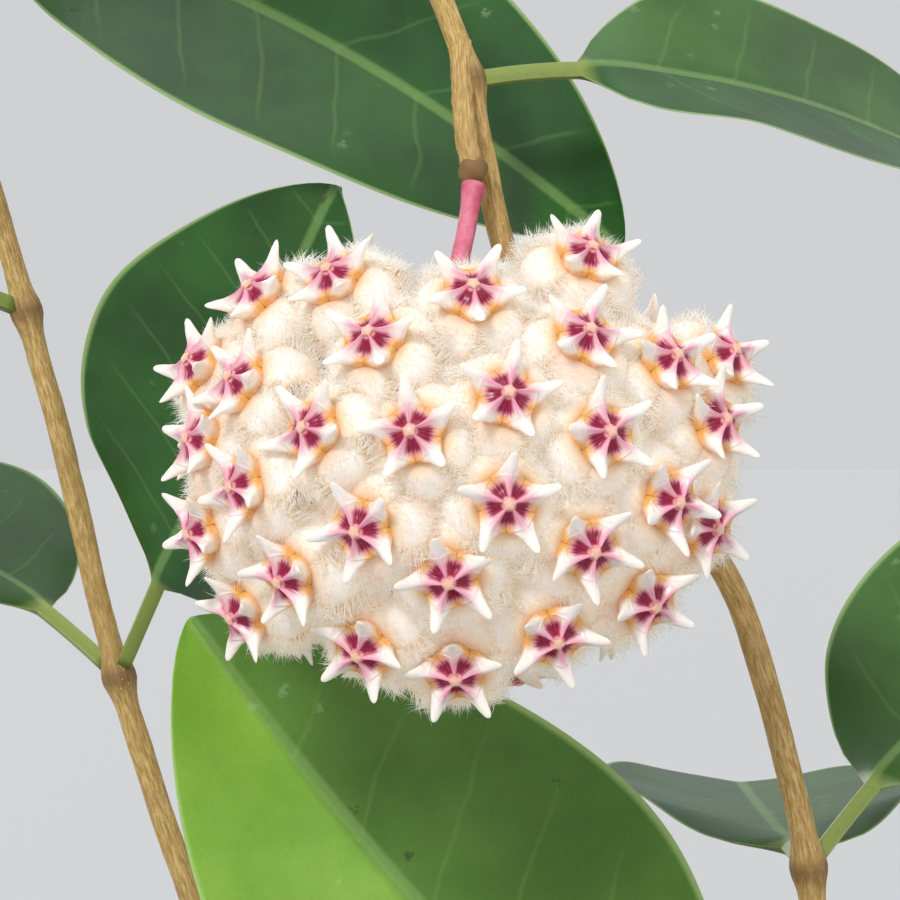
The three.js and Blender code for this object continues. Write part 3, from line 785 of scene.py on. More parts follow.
leafShape = {
    "petioleLength": 12.0,
    "petioleHalfWidth": 1.3,
    "petioleHalfThickness": 1.2,
    "petioleSeat": 2.25,
    "petioleInset": 1.5,  # how far its foot reaches into the stem's knot
    "bladeHalfThickness": 0.7,
    "edgeHalfThickness": 0.4,
    "fullness": (0.85, 0.7),  # where the blade is widest, and how full its outline is
    "tipHalfWidth": 0.25,
    "foldCurve": 1.4,
    "grooveDepth": 0.45,
    "grooveHalf": 0.9,
    "waveHeight": 0.5,
    "petioleRows": 12,
    "footRows": [0.015, 0.04],
    "bladeRows": (0.07, 0.93, 76),
    "tipRows": [0.955, 0.975, 0.988, 0.996, 1],
    "around": 72,
    # stem, height on it, bend, tip, where the face looks, half width, fold, painted light on the left and
    # right halves
    "all": [
        ("main", 104, (1, -10, 127), (-36.5, -10, 178), (0.22, -0.94, 0.22), 26, 0.3, 0.95, 0.45),
        ("main", 104, (74, 10, 128), (112, 14, 142), (-0.4, -0.3, 0.9), 23, 0.3, 0.4, 0.3),
        ("main", 148, (62, 22, 176), (96, 40, 196), (-0.4, -0.5, 0.8), 22, 0.25, 0.3, 0.35),
        ("main", 148, (34, 44, 150), (36, 88, 148), (0, -0.3, 1), 22, 0.25, 0.2, 0.3),
        ("main", 240, (32, 4, 247), (74, 44, 226), (0.1, -0.6, 0.8), 21, 0.2, 0.3, 0.2),
        ("main", 264, (-38, -26, 286), (-88, -34, 284), (0.1, 0.2, 1), 17, 0.3, 0.6, 0.55),
        ("side", 264, (-32, 22, 262), (14, 6, 221), (0.2, -0.9, 0.5), 21, 0.2, 0.15, 0.2),
        ("side", 168, (-34, 12, 200), (-20, 6, 229), (-0.4, -0.8, 0.4), 23, 0.25, 0.2, 0.15),
        ("side", 120, (-66, 4, 128), (-104, -18, 126), (0, -0.4, 1), 23, 0.3, 0.3, 0.35),
        ("side", 168, (-76, 50, 190), (-106, 66, 196), (0.2, -0.2, 1), 22, 0.25, 0.3, 0.25),
        ("side", 215, (-88, 14, 226), (-124, -4, 222), (0.1, -0.5, 0.9), 20, 0.25, 0.4, 0.35),
        ("side", 264, (-108, 36, 286), (-134, 44, 280), (0.4, -0.2, 0.9), 15, 0.3, 0.7, 0.6),
    ],
}


def petioleFoot(stem, height, bend):
    route = stemRoutes[stem]
    share = route.shareAtHeight(height)
    knot = route.at(share)
    heading = unit(np.array(bend, float) - knot)
    lean = abs(float(heading @ route.heading(share)))
    spread = leafShape["petioleHalfWidth"] * lean * 0.7
    return knot + heading * (leafShape["petioleSeat"] + spread) / math.sqrt(1 - lean**2)


def leafStations(neck):  # places on the whole route, and how far along the blade each of them lies
    stalk = np.linspace(0, neck * 0.94, leafShape["petioleRows"])
    body = np.linspace(*leafShape["bladeRows"])
    blade = np.concatenate([leafShape["footRows"], body, leafShape["tipRows"]])
    shares = np.concatenate([stalk, neck + blade * (1 - neck)])
    return shares, np.concatenate([np.zeros(len(stalk)), blade])[:, None]


def leafHalfWidth(along, half):
    widestAt, full = leafShape["fullness"]
    bulge = np.maximum(np.sin(math.pi * along**widestAt), 0) ** full
    least = np.where(along > 0.5, leafShape["tipHalfWidth"], leafShape["petioleHalfWidth"])
    return np.maximum(half * bulge, least)


def leafRise(along, across, over, halfWidth, fold, chance):  # over: 1 on the upper face, -1 on the lower one
    swell = smoothstep(along, 0, 0.2)
    core = leafShape["petioleHalfThickness"]
    core = core + (leafShape["bladeHalfThickness"] - core) * swell
    core = core * (1 - 0.6 * smoothstep(along, 0.95, 1))
    thick = core + (leafShape["edgeHalfThickness"] - core) * np.abs(across)
    first, second = chance.uniform(0, 6, 2)
    wave = np.sin(along * 11 + first) * 0.6 + np.sin(along * 19 + across * 2 + second) * 0.4
    folded = fold * halfWidth * np.abs(across) ** leafShape["foldCurve"]
    waved = leafShape["waveHeight"] * wave * across**2
    groove = leafShape["grooveDepth"] * np.exp(-((across * halfWidth / leafShape["grooveHalf"]) ** 2))
    groove = groove * smoothstep(along, 0.02, 0.15)
    sunk = np.clip(over * 4, 0, 1) * (1 - along) + np.clip(-over * 4, 0, 1)
    return (folded + waved) * swell + over * thick - sunk * groove


def makeLeaf(name, node, leaf, finish, chance):
    stem, height, bend, tip, face, half, fold, leftPaintedLight, rightPaintedLight = leaf
    route = throughBend(petioleFoot(stem, height, bend), bend, tip)
    shares, along = leafStations(leafShape["petioleLength"] / route.length)
    turn = ringAngles(leafShape["around"])
    across, over = np.cos(turn), np.sin(turn)
    halfWidth = leafHalfWidth(along, half)
    rise = leafRise(along, across, over, halfWidth, fold, chance)
    aside, above = crossFrames(route.heading(shares), face)
    sections = route.at(shares)[:, None] + aside[:, None] * (across * halfWidth)[..., None]
    sections = sections + above[:, None] * rise[..., None]
    foot = sections[:1] - leafShape["petioleInset"] * route.heading(0.0)
    along, width = (np.concatenate([column[:1], column]) for column in (along, halfWidth))
    form = Form()
    form.addLoft(np.concatenate([foot, sections]), along=along, across=across, width=width, upper=over,
                 light=np.where(across < 0, leftPaintedLight, rightPaintedLight), stalk=along <= 0)
    return form.piece(name, finish, "leaf", [node])


def makeStemPiece(name, node, parts, finish, chance):
    form = Form()
    angles = ringAngles(stems["sides"])
    for route, (thick, thin), knots, growing in parts:
        count = int(route.length / stems["step"])
        shares = np.linspace(0, 1, count)[:, None]
        radii = thick + (thin - thick) * shares
        knotty = np.zeros_like(shares)
        for knot in knots:
            away = (shares - knot) * route.length
            radii = radii + stems["knotSwell"] * np.exp(-((away / stems["knotLength"]) ** 2))
            knotty = knotty + np.exp(-((away / stems["knotStain"]) ** 2))
        if growing:
            radii = radii * np.sqrt(np.clip((1 - shares) * route.length / stems["tipTaper"], 0.02, 1))
        starts = [chance.uniform(0, 6), 0]
        for (depth, turns, waves), start in zip(stems["dents"], starts):
            radii = radii + depth * np.sin(angles * turns + shares * waves + start)
        radii = radii + chance.normal(0, stems["grain"], (count, stems["sides"]))
        sections = tubeSections(route, shares[:, 0], radii, stems["sides"])
        form.addLoft(sections, length=shares * route.length, turn=angles, knot=knotty,
                     young=growing * smoothstep(shares, 0.85, 1))
        if not growing:
            ball = ballSections(stems["spurKnotRadius"], 16, stems["sides"], [stems["spurKnotWave"]])
            form.addLoft(ball + route.at(1.0), length=0.0, turn=0.0, knot=1.0, young=0.0)
    return form.piece(name, finish, "bark", [node])


def knotShares(stem):
    heights = sorted({leaf[1] for leaf in leafShape["all"] if leaf[0] == stem})
    return [stemRoutes[stem].shareAtHeight(height) for height in heights]


# Pot and soil
pot = {
    "height": 100.0,
    "footRadius": 39.0,
    "neckRadius": 51.0,
    "collarRadius": 57.0,
    "collarHeight": 22.0,
    "wall": 5.0,
    "floor": 8.0,
    "edge": 1.5,
    "footRound": 1.5,
    "neckRound": 1.0,
    "collarRound": 1.6,
    "lipRound": 1.9,
    "floorRound": 3.0,
    "holeRadius": 3.5,
    "holeRing": 22.0,
    "holeCount": 3,
    "holeFacets": 32,
    "facets": 180,
    "longestStep": 1.6,
    "turningLines": [(0.1, 1.9), (0.06, 0.7)],  # depth, and how close they lie
    "wobble": [(0.15, 2), (0.05, 7)],  # depth, and times around
}

soil = {
    "top": 87.0,
    "relief": 1.4,
    "edgeGap": 0.45,
    "rings": 44,
    "around": 120,
    "crumb": 0.35,
    "crumbScatter": 0.12,
    "sink": 0.5,  # how far the mix lies under the bark and the grains
    "clearOfStem": 3.4,
    "tilt": (0.45, 0.35),
    "lift": (-0.2, 0.9),
    "roughness": 0.12,
    "chips": {"count": 620, "size": (1.6, 4.2), "flat": (1.0, 0.62, 0.3)},
    "grains": {"count": 150, "size": (0.9, 2.0), "flat": (1.0, 0.85, 0.75)},
}


def potInside(height):
    bottom = pot["footRadius"] - pot["wall"] + 2
    top = pot["collarRadius"] - pot["wall"]
    return bottom + (top - bottom) * (height - pot["floor"]) / (pot["height"] - pot["floor"])


def soilHeight(x, y):
    slow = np.sin(x * 0.11 + 1.3) * np.cos(y * 0.09)
    return soil["top"] + soil["relief"] * (slow + 0.4 * np.sin(x * 0.31 - y * 0.23))


def roundedProfile(corners, steps=4):  # each corner is (radius, height, how far its round reaches)
    places = [np.array(corner[:2], float) for corner in corners]
    profile = []
    for i, (_, _, reach) in enumerate(corners):
        here = places[i]
        if reach == 0:
            profile.append(here)
            continue
        before = here + unit(places[i - 1] - here) * reach
        after = here + unit(places[(i + 1) % len(places)] - here) * reach
        for t in np.linspace(0, 1, steps + 1):
            profile.append((1 - t) ** 2 * before + 2 * t * (1 - t) * here + t**2 * after)
    return np.array(profile)


def subdivided(profile, longest):
    points = [profile[0]]
    for a, b in zip(profile, profile[1:]):
        count = max(1, int(np.ceil(np.linalg.norm(b - a) / longest)))
        points += [a + (b - a) * t for t in np.linspace(0, 1, count + 1)[1:]]
    return np.array(points)


def drillPot(piece):
    holes = Form()
    ring = ringAngles(pot["holeFacets"])
    ends = np.stack([polar(pot["holeRadius"], ring, z) for z in (-2.0, pot["floor"] + 2)])
    for angle in ringAngles(pot["holeCount"]):
        holes.addLoft(ends + polar(pot["holeRing"], angle, 0.0))
    cutter = addObject("drainHoles", holes.mesh("drainHoles"))
    cut = piece.modifiers.new("drainHoles", "BOOLEAN")
    cut.object = cutter
    cut.operation = "DIFFERENCE"
    cut.solver = "EXACT"
    drilled = piece.evaluated_get(bpy.context.evaluated_depsgraph_get())
    drilled = bpy.data.meshes.new_from_object(drilled)
    piece.modifiers.clear()
    piece.data = drilled
    bpy.data.objects.remove(cutter)


def makePot():
    collarBottom = pot["height"] - pot["collarHeight"]
    lip = pot["collarRadius"] + pot["edge"]
    profile = roundedProfile([
        (0.01, 0, 0),
        (pot["footRadius"], 0, pot["footRound"]),
        (pot["neckRadius"], collarBottom, pot["neckRound"]),
        (pot["collarRadius"], collarBottom, pot["collarRound"]),
        (lip, pot["height"], pot["lipRound"]),
        (potInside(pot["height"]), pot["height"], pot["lipRound"]),
        (potInside(pot["floor"]), pot["floor"], pot["floorRound"]),
        (0.01, pot["floor"], 0),
    ])
    profile = subdivided(profile, pot["longestStep"])
    angles = ringAngles(pot["facets"])
    radius, height = profile[:, :1], profile[:, 1:]
    (fineDepth, fine), (wideDepth, wide) = pot["turningLines"]
    (bigDepth, big), (smallDepth, small) = pot["wobble"]
    relief = fineDepth * np.sin(height * fine) + wideDepth * np.sin(height * wide + np.sin(angles * 2) * 1.5)
    relief = relief + bigDepth * np.sin(angles * big + 0.4) * height / pot["height"]
    relief = relief + smallDepth * np.sin(angles * small + height * 0.2) - fineDepth
    form = Form()
    form.addLoft(polar(radius + relief * smoothstep(radius, 20, 34), angles, height))
    drillPot(form.piece("clayPot", clayFinish(), "clay", ["pot"]))


def stonePoints():
    stone = bmesh.new()
    bmesh.ops.create_icosphere(stone, subdivisions=2, radius=1)
    points = np.array([vertex.co for vertex in stone.verts])
    faces = [tuple(vertex.index for vertex in face.verts) for face in stone.faces]
    stone.free()
    return points, faces


def scatterStones(name, finish, kind, edge, chance):  # lumps on the soil, clear of the stems and the rim
    stone, faces = stonePoints()
    feet = [np.array(stems[stem][2][:2], float) for stem in ("main", "side")]
    form = Form()
    placed = 0
    while placed < kind["count"]:
        reach = (edge - 1.8) * math.sqrt(chance.uniform())
        angle = chance.uniform(0, 2 * math.pi)
        spot = np.array([reach * math.cos(angle), reach * math.sin(angle)])
        size = chance.uniform(*kind["size"])
        nearest = min(np.linalg.norm(spot - foot) for foot in feet)
        if reach + size * 0.8 > edge or nearest < soil["clearOfStem"] + size * 0.6:
            continue
        rough = 1 + chance.normal(0, soil["roughness"], (len(stone), 1))
        body = np.sign(stone) * np.abs(stone) ** 0.72 * rough * size * np.array(kind["flat"]) * 0.62
        tilt = Matrix.Rotation(chance.uniform(0, 6.28), 3, "Z")
        tilt = tilt @ Matrix.Rotation(chance.normal(0, soil["tilt"][0]), 3, "X")
        tilt = tilt @ Matrix.Rotation(chance.normal(0, soil["tilt"][1]), 3, "Y")
        body = body @ np.array(tilt).T
        lift = soilHeight(*spot) + chance.uniform(*soil["lift"])
        form.add(body + [spot[0], spot[1], lift], faces, tint=chance.uniform())
        placed += 1
    form.piece(name, finish, "soil", ["soil"], smooth=False)


def makeSoil():
    chance = np.random.default_rng(5)
    edge = potInside(soil["top"]) - soil["edgeGap"]
    radii = np.concatenate([[0.01], np.linspace(1.2, edge, soil["rings"])])[:, None]
    angles = ringAngles(soil["around"])
    x, y = radii * np.cos(angles), radii * np.sin(angles)
    crumbs = soil["crumb"] * np.sin(x * 1.3 + np.sin(y * 0.9) * 2) * np.sin(y * 1.1 + 1)
    crumbs = crumbs + chance.normal(0, soil["crumbScatter"], x.shape)
    top = np.stack([x, y, soilHeight(x, y) + crumbs - soil["sink"]], -1)
    floorZ = pot["floor"] + 0.3
    foot = potInside(floorZ) - 0.4
    bed = Form()
    bed.addLoft(np.concatenate([top, polar(foot, angles, floorZ)[None]])[::-1])
    bed.piece("pottingMix", mixFinish(), "soil", ["soil"])
    scatterStones("barkChips", chipFinish(), soil["chips"], edge, chance)
    scatterStones("pumiceGrains", grainFinish(), soil["grains"], edge, chance)


# Finishes
starColours = {
    "top": [(0.0, "f8cab4"), (0.1, "f3aa9c"), (0.16, "f4c8c4"), (0.4, "f9e8e0"), (0.7, "fcf4ec"),
            (1.0, "fdf5e8")],
    "ridge": "ee8fb4",
    # the foot's own amber, laid on deeper as painted shade in the hollows between the lobes
    "amberAndShade": ("ea9c3e", "f2b860"),
    "halo": "d6397f",
    "stain": ("5a001e", "a60842"),
}


def starFinish():
    wax = Finish("waxyStar")
    reach, flank, side = wax.painted("reach", "flank", "swing")
    swing = abs(side)
    place = wax.place()
    # how low a point lies, which carries the painted shade low on the flanks
    low = wax.height(place).fade(-0.5, -1.5)
    mottle = wax.noise(place, 1.6, 3.0)
    rays = wax.noise(wax.together(side * 7, reach * 0.6, 0.0), 1.1, 2.0)
    ragged = reach + rays * 0.8 - 0.4
    amberAndShade = wax.mix(mottle.fade(0.3, 0.7), *starColours["amberAndShade"])
    stain = wax.mix(rays.fade(0.35, 0.62), *starColours["stain"])
    colour = wax.layered(wax.ramp(reach / 5.5, starColours["top"]), [
        (flank.fade(0.2, 0.06) * reach.fade(3.8, 1.8) * reach.fade(0.5, 0.8) * 0.85, starColours["ridge"]),
        # painted shade: amber over the hollows between the lobes, and over the flanks where they lie low
        (swing.fade(0.35, 0.9) * reach.fade(1.8, 2.7) * reach.fade(3.6, 3.1) * 0.8, amberAndShade),
        (flank.fade(0.2, 0.45) * low * reach.fade(4.3, 3.2) * 0.85, amberAndShade),
        (swing.fade(0.14, 0.4) * ragged.fade(2.8, 1.9) * reach.fade(0.6, 0.9) * 0.75, starColours["halo"]),
        (swing.fade(0.26, 0.5) * ragged.fade(2.4, 1.7) * reach.fade(0.65, 0.95) * 0.97, stain),
    ])
    return wax.surface({
        "Base Color": colour, "Roughness": 0.22 + mottle * 0.12, "Coat Weight": 0.08, "Coat Roughness": 0.15,
        "Normal": wax.relief(wax.noise(place, 6.0, 2.0), 0.03, 0.3), "Specular IOR Level": 0.35,
        "Subsurface Weight": 0.06, "Subsurface Radius": (0.0009, 0.0005, 0.0004),
    })


petalColours = {
    # the orange at the start, under the star, is painted shadow
    "along": [(0.0, "d98f3e"), (0.2, "e9ac66"), (0.31, "f9e4cc"), (0.44, "fffaf3"), (0.62, "fdf5ec"),
              (0.78, "f9e3d4"), (1.0, "ecb7a2")],
    "cloud": "f8d0be",
    # painted shade along the margins, under the fringe
    "edge": "e6c687",
    # painted shade: yellow on the inner faces and the cup, which turn in under the flower
    "inside": "e3bf62",
    "vein": "e9b79c",
    "glow": "fff0e0",  # stands for the light that passes through, as for the hairs
}


def petalFinish():
    skin = Finish("velvetPetal")
    along, side, inner, tint = skin.painted("along", "across", "inner", "tint")
    across = abs(side)
    place = skin.place()
    cloud = skin.noise(place, 0.22, 3.0)
    veins = skin.noise(skin.together(across * 9, along * 2, tint * 7), 1.6, 2.0)
    fuzz = skin.noise(place, 9.0, 3.0, 0.65)
    # the ramp along each petal begins with a painted shadow under the star
    colour = skin.layered(skin.ramp(along, petalColours["along"]), [
        (cloud.fade(0.4, 0.66) * (0.2 + tint * 0.6), petalColours["cloud"]),
        # painted shade: the margins under the fringe go darker yellow
        (across.fade(0.62, 1.0) * along.fade(0.2, 0.45) * 0.7, petalColours["edge"]),
        # painted shade on the inner faces and the cup under the star
        (inner.fade(0.6, 1.0) * 0.7, petalColours["inside"]),
        (veins.fade(0.55, 0.8) * 0.12, petalColours["vein"]),
    ])
    return skin.surface({
        "Base Color": colour, "Roughness": 0.68 + fuzz * 0.2, "Normal": skin.relief(fuzz, 0.1, 0.5),
        "Sheen Weight": 0.45, "Sheen Roughness": 0.45, "Subsurface Weight": 0.3,
        "Subsurface Radius": (0.003, 0.0016, 0.0009), "Emission Color": petalColours["glow"],
        "Emission Strength": 0.09,
    })


hairColours = {"foot": "f5debc", "tip": "fffcf4", "glow": "ffeed6"}


def hairFinish():
    silk = Finish("silkyHair")
    colour = silk.mix(silk.painted("tall").fade(0.0, 0.4), hairColours["foot"], hairColours["tip"])
    return silk.surface({
        "Base Color": colour, "Roughness": 0.4, "Subsurface Weight": 0.9,
        "Subsurface Radius": (0.001, 0.0009, 0.0007), "Emission Color": hairColours["glow"],
        "Emission Strength": 0.15,
    })


stalkColours = {
    "flower": ("b5463f", "e08a78"),
    "peduncle": ("c94f6b", "e58aa0"),
    "fleck": "8e3a3f",
}


def stalkFinish(name, kind):
    stalk = Finish(name)
    place = stalk.place()
    blush = stalk.noise(place, 0.35, 3.0)
    fleck = stalk.noise(place * (1.0, 1.0, 0.25), 3.2, 3.0)
    colour = stalk.mix(blush.fade(0.35, 0.7), *stalkColours[kind])
    colour = stalk.mix(fleck.fade(0.6, 0.75) * 0.35, colour, stalkColours["fleck"])
    bump = stalk.relief(stalk.noise(place * (1.0, 1.0, 0.3), 5.0, 3.0), 0.08, 0.5)
    return stalk.surface({
        "Base Color": colour, "Roughness": 0.5 + fleck * 0.2, "Normal": bump, "Subsurface Weight": 0.1,
        "Subsurface Radius": (0.001, 0.0004, 0.0003),
    })


barkColours = {
    "fibre": [(0.25, "8a6a3c"), (0.45, "bb9755"), (0.62, "d8b878"), (0.8, "ead3a0")],
    "patch": "a9854c",
    "knot": "6b4a2a",
    "young": "8a9a4e",
    "pore": "f0dfb8",
}


def barkFinish():
    bark = Finish("caneBark")
    length, turn, knot, young = bark.painted("length", "turn", "knot", "young")
    fibre = bark.noise(bark.together(turn.cosine() * 1.6, turn.sine() * 1.6, length * 0.16), 3.4, 4.0, 0.6)
    patch = bark.noise(bark.place(), 0.16, 3.0)
    pores = bark.cells(bark.together(turn * 2.2, length * 0.7, 0.0), 1.3)
    colour = bark.layered(bark.ramp(fibre, barkColours["fibre"]), [
        (patch.fade(0.45, 0.7) * 0.5, barkColours["patch"]),
        (knot * 0.75, barkColours["knot"]),
        (young * 0.7, barkColours["young"]),
        (pores.fade(0.2, 0.08) * 0.5, barkColours["pore"]),
    ])
    bump = bark.relief(fibre + pores.fade(0.22, 0.1) * 0.5, 0.22, 0.7)
    return bark.surface({"Base Color": colour, "Roughness": 0.55 + fibre * 0.25, "Normal": bump})


leafColours = {
    # a shaded and a lit green, which the painted light on each half of a blade mixes
    "deep": ("143c14", "24591f"),
    "bright": ("6da32b", "8abb42"),
    "sideVein": "8bb562",
    "net": "8fb26a",
    "midrib": "8fb565",
    # a pale rim along the very edge: the blade's pale margin, with a painted highlight
    "rim": "b3cf86",
    "speck": "2c3a1a",
    "silver": "cfdcc0",
    "under": "8fae6c",
    "stalk": "9aa657",
    "shade": "1e4a1c",
}


def leafFinish():
    blade = Finish("leatheryLeaf")
    along, side, width = blade.painted("along", "across", "width")
    upper, light, stalk = blade.painted("upper", "light", "stalk")
    across = abs(side)
    sideways = across * width
    place = blade.place()
    warp = blade.noise(place, 0.09, 2.0)
    cloud = blade.noise(place, 0.045, 3.0, 0.6)
    fine = blade.noise(place, 1.5, 3.0, 0.6)
    under = upper.fade(0.05, -0.05)
    deep, bright = (blade.mix(cloud.fade(0.3, 0.7), *leafColours[name]) for name in ("deep", "bright"))
    lines = along * 7.5 - sideways * 0.055 + warp * 0.3
    sideVein = abs(lines - blade.sum("ROUND", lines)).fade(0.05, 0.0) * across.fade(0.95, 0.6)
    net = blade.cells(place + fine * 0.8, 0.6, "DISTANCE_TO_EDGE").fade(0.05, 0.0)
    speck = blade.cells(place, 0.11).fade(0.09, 0.05) * fine.fade(0.45, 0.6)
    silver = blade.cells(place + fine * 2.0, 0.2).fade(0.16, 0.08) * cloud.fade(0.52, 0.62)
    # painted light: each half of a blade runs from the shaded green to the lit green by its listed share
    colour = blade.layered(blade.mix(light.fade(0.1, 1.0), deep, bright), [
        (sideVein * 0.12, leafColours["sideVein"]),
        (net * 0.02, leafColours["net"]),
        (sideways.fade(1.1, 0.35) * 0.4, leafColours["midrib"]),
        # painted highlight along the very edge, over the blade's pale margin
        (across.fade(0.955, 0.99) * 0.55, leafColours["rim"]),
        (speck * 0.7, leafColours["speck"]),
        (silver * 0.16, leafColours["silver"]),
        (under * 0.6, leafColours["under"]),
        (stalk * 0.7, leafColours["stalk"]),
        (fine.fade(0.3, 0.8) * 0.1, leafColours["shade"]),
    ])
    height = fine * 0.2 + cloud * 0.5 - sideVein * 0.16 + speck * 0.3
    return blade.surface({
        "Base Color": colour, "Roughness": 0.36 + fine * 0.14 + under * 0.2, "Coat Weight": 0.08,
        "Coat Roughness": 0.3, "Normal": blade.relief(height, 0.2, 0.6), "IOR": 1.4,
        "Subsurface Weight": 0.06, "Subsurface Radius": (0.0008, 0.0015, 0.0003),
    })


clayColours = {
    "body": ("a9512f", "c8744c"),
    "grain": "d9936c",
    "lime": "e6d3c2",
    "damp": "7e3a24",
    "pit": "7a3b26",
}


def clayFinish():
    clay = Finish("terracotta")
    place = clay.place()
    z = clay.height(place)
    aboveCollar = z - 76.0
    cloud = clay.noise(place, 0.03, 4.0, 0.6)
    grain = clay.noise(place, 1.4, 4.0, 0.65)
    lime = clay.noise(place * (1.0, 1.0, 2.2), 0.055, 5.0, 0.7, 0.6)
    limeShare = z.fade(34.0, 4.0) * 0.7 + aboveCollar.fade(-12.0, 2.0) * aboveCollar.fade(10.0, 2.0) * 0.5
    damp = clay.noise(place, 0.02, 3.0)
    pits = clay.cells(place, 0.5).fade(0.16, 0.06)
    colour = clay.layered(clay.mix(cloud.fade(0.3, 0.7), *clayColours["body"]), [
        (grain.fade(0.35, 0.75) * 0.35, clayColours["grain"]),
        (lime.fade(0.5, 0.68) * (0.25 + limeShare), clayColours["lime"]),
        (damp.fade(0.55, 0.7) * z.fade(10.0, 60.0) * 0.35, clayColours["damp"]),
        (pits * 0.5, clayColours["pit"]),
    ])
    height = grain * 0.6 - pits * 0.8 + (z * 2.4 + grain * 1.2).sine() * 0.16
    return clay.surface({
        "Base Color": colour, "Roughness": 0.78 + grain * 0.14, "Normal": clay.relief(height, 0.35, 0.75),
    })


soilColours = {
    "mix": ("21160f", "4a3323"),
    "chip": ("4a2f1d", "7c5232"),
    "chipShade": "1f140d",
    "chipFibre": "a5794e",
    "grain": ("b9ab95", "eee6d8"),
    "grainShade": "c9b48f",
}


def mixFinish():
    earth = Finish("dampMix")
    crumbs = earth.noise(earth.place(), 0.9, 5.0, 0.7)
    colour = earth.mix(crumbs.fade(0.3, 0.75), *soilColours["mix"])
    bump = earth.relief(crumbs, 0.4, 0.8)
    return earth.surface({"Base Color": colour, "Roughness": 0.82 + crumbs * 0.12, "Normal": bump})


def chipFinish():
    chip = Finish("barkChip")
    place = chip.place()
    crumbs = chip.noise(place, 0.7, 5.0, 0.7)
    fibres = chip.noise(place * (0.4, 1.0, 1.6), 1.4, 3.0)
    colour = chip.layered(chip.mix(crumbs.fade(0.3, 0.75), *soilColours["chip"]), [
        (chip.painted("tint") * 0.55, soilColours["chipShade"]),
        (fibres.fade(0.5, 0.75) * 0.4, soilColours["chipFibre"]),
    ])
    bump = chip.relief(crumbs, 0.4, 0.8)
    return chip.surface({"Base Color": colour, "Roughness": 0.82 + crumbs * 0.12, "Normal": bump})


def grainFinish():
    grain = Finish("paleGrain")
    pores = grain.noise(grain.place(), 2.2, 4.0, 0.7)
    colour = grain.mix(pores.fade(0.35, 0.65), *soilColours["grain"])
    colour = grain.mix(grain.painted("tint") * 0.35, colour, soilColours["grainShade"])
    bump = grain.relief(pores, 0.3, 0.8)
    return grain.surface({"Base Color": colour, "Roughness": 0.85 + pores * 0.1, "Normal": bump})


def floorFinish():
    paper = Finish("paleFloor")
    grain = paper.noise(paper.place(), 0.4, 3.0)
    colour = paper.mix(grain.fade(0.3, 0.7) * 0.4, *studio["floorColours"])
    return paper.surface({"Base Color": colour, "Roughness": 0.8})


# Studio
def makeStudio():
    scene = bpy.context.scene
    lens = bpy.data.cameras.new("camera")
    lens.lens = studio["lens"]
    lens.sensor_width = studio["sensorWidth"]
    lens.clip_start, lens.clip_end = studio["clip"]
    camera = addObject("camera", lens)
    camera.location = Vector(studio["cameraPlace"]) * mm
    camera.rotation_euler = (math.pi / 2, 0, 0)
    scene.camera = camera
    target = Vector(studio["lampTarget"]) * mm
    for name, place, width, watts in studio["lamps"]:
        glow = bpy.data.lights.new(name, "SUN")
        glow.angle = math.radians(width)
        glow.energy = watts
        lamp = addObject(name, glow)
        lamp.location = Vector(place) * mm
        lamp.rotation_euler = (target - lamp.location).to_track_quat("-Z", "Y").to_euler()
    sky = bpy.data.worlds.new("softSky")
    sky.use_nodes = True
    backdrop = sky.node_tree.nodes["Background"]
    backdrop.inputs["Color"].default_value = (*linearColour(studio["skyColour"]), 1)
    backdrop.inputs["Strength"].default_value = studio["skyStrength"]
    scene.world = sky
    scene.view_settings.view_transform = "Standard"
    half = studio["floorHalf"]
    corners = [(-half, -half, 0), (half, -half, 0), (half, half, 0), (-half, half, 0)]
    mesh = meshFrom("floor", corners, [(0, 1, 2, 3)])
    mesh.materials.append(floorFinish())
    floor = addObject("floor", mesh)


def makeFlowers():
    waxFinish, velvetFinish, silkFinish = starFinish(), petalFinish(), hairFinish()
    places = flowerPlaces()
    for i, place in enumerate(places, 1):
        chance = np.random.default_rng(100 + i)
        shapes = petalShapes(chance)
        makeStar(f"star_{i:02d}", f"corona_{i:02d}", place, waxFinish, chance)
        makePetals(f"petals_{i:02d}", place, velvetFinish, shapes, chance.uniform())
        makeFringe(f"fringe_{i:02d}", place, silkFinish, shapes, chance)
    return places


# The hub, and for each flower a stalk with sepals and a short down
stalks = {
    "hubOffset": (0.0, 3.0, 4.0),
    "hubRadius": 2.8,
    "hubWaves": [(0.09, 6, 3), (0.05, 11, -7)],
    "radius": 0.5,
    "seat": 4.9,  # how far under its flower a stalk ends
    "sink": 0.4,
    "bendBack": 6,
    "gather": 0.25,  # how much of the way to the hub the bend is drawn
    "flares": (0.35, 0.3),  # at the flower and at the hub, as shares of the radius
    "stations": 26,
    "sides": 12,
    "sepalCount": 5,
    "sepalTurn": 0.4,
    "sepalStart": 0.5,
    "sepalLength": 1.9,
    "sepalHalfWidth": 0.75,
    "sepalHalfThickness": 0.12,
    "sepalUnder": 5.15,  # how far under the middle of the star they begin, and how much they rise
    "sepalRise": 0.9,
    "sepalGrid": (9, 10),
    "downCount": 40,
    "downOver": (0.1, 0.95),
    "downForward": 0.2,
    "downBend": 0.2,
    "downLength": (0.2, 0.5),
    "downRadius": 0.014,
}


def sepalSections():
    rows, around = stalks["sepalGrid"]
    steps = np.linspace(0, 1, rows)[:, None]
    ring = ringAngles(around)
    widths = stalks["sepalHalfWidth"] * np.sin(np.clip(steps * 0.86 + 0.14, 0, 1) * math.pi) ** 0.8 + 0.04
    thick = stalks["sepalHalfThickness"] * np.sin(ring) * (1 - steps * 0.6)
    out = stalks["sepalStart"] + steps * stalks["sepalLength"] + 0 * ring
    up = steps**1.5 * stalks["sepalRise"] - stalks["sepalUnder"] + thick
    return np.stack([out, widths * np.cos(ring), up], -1)


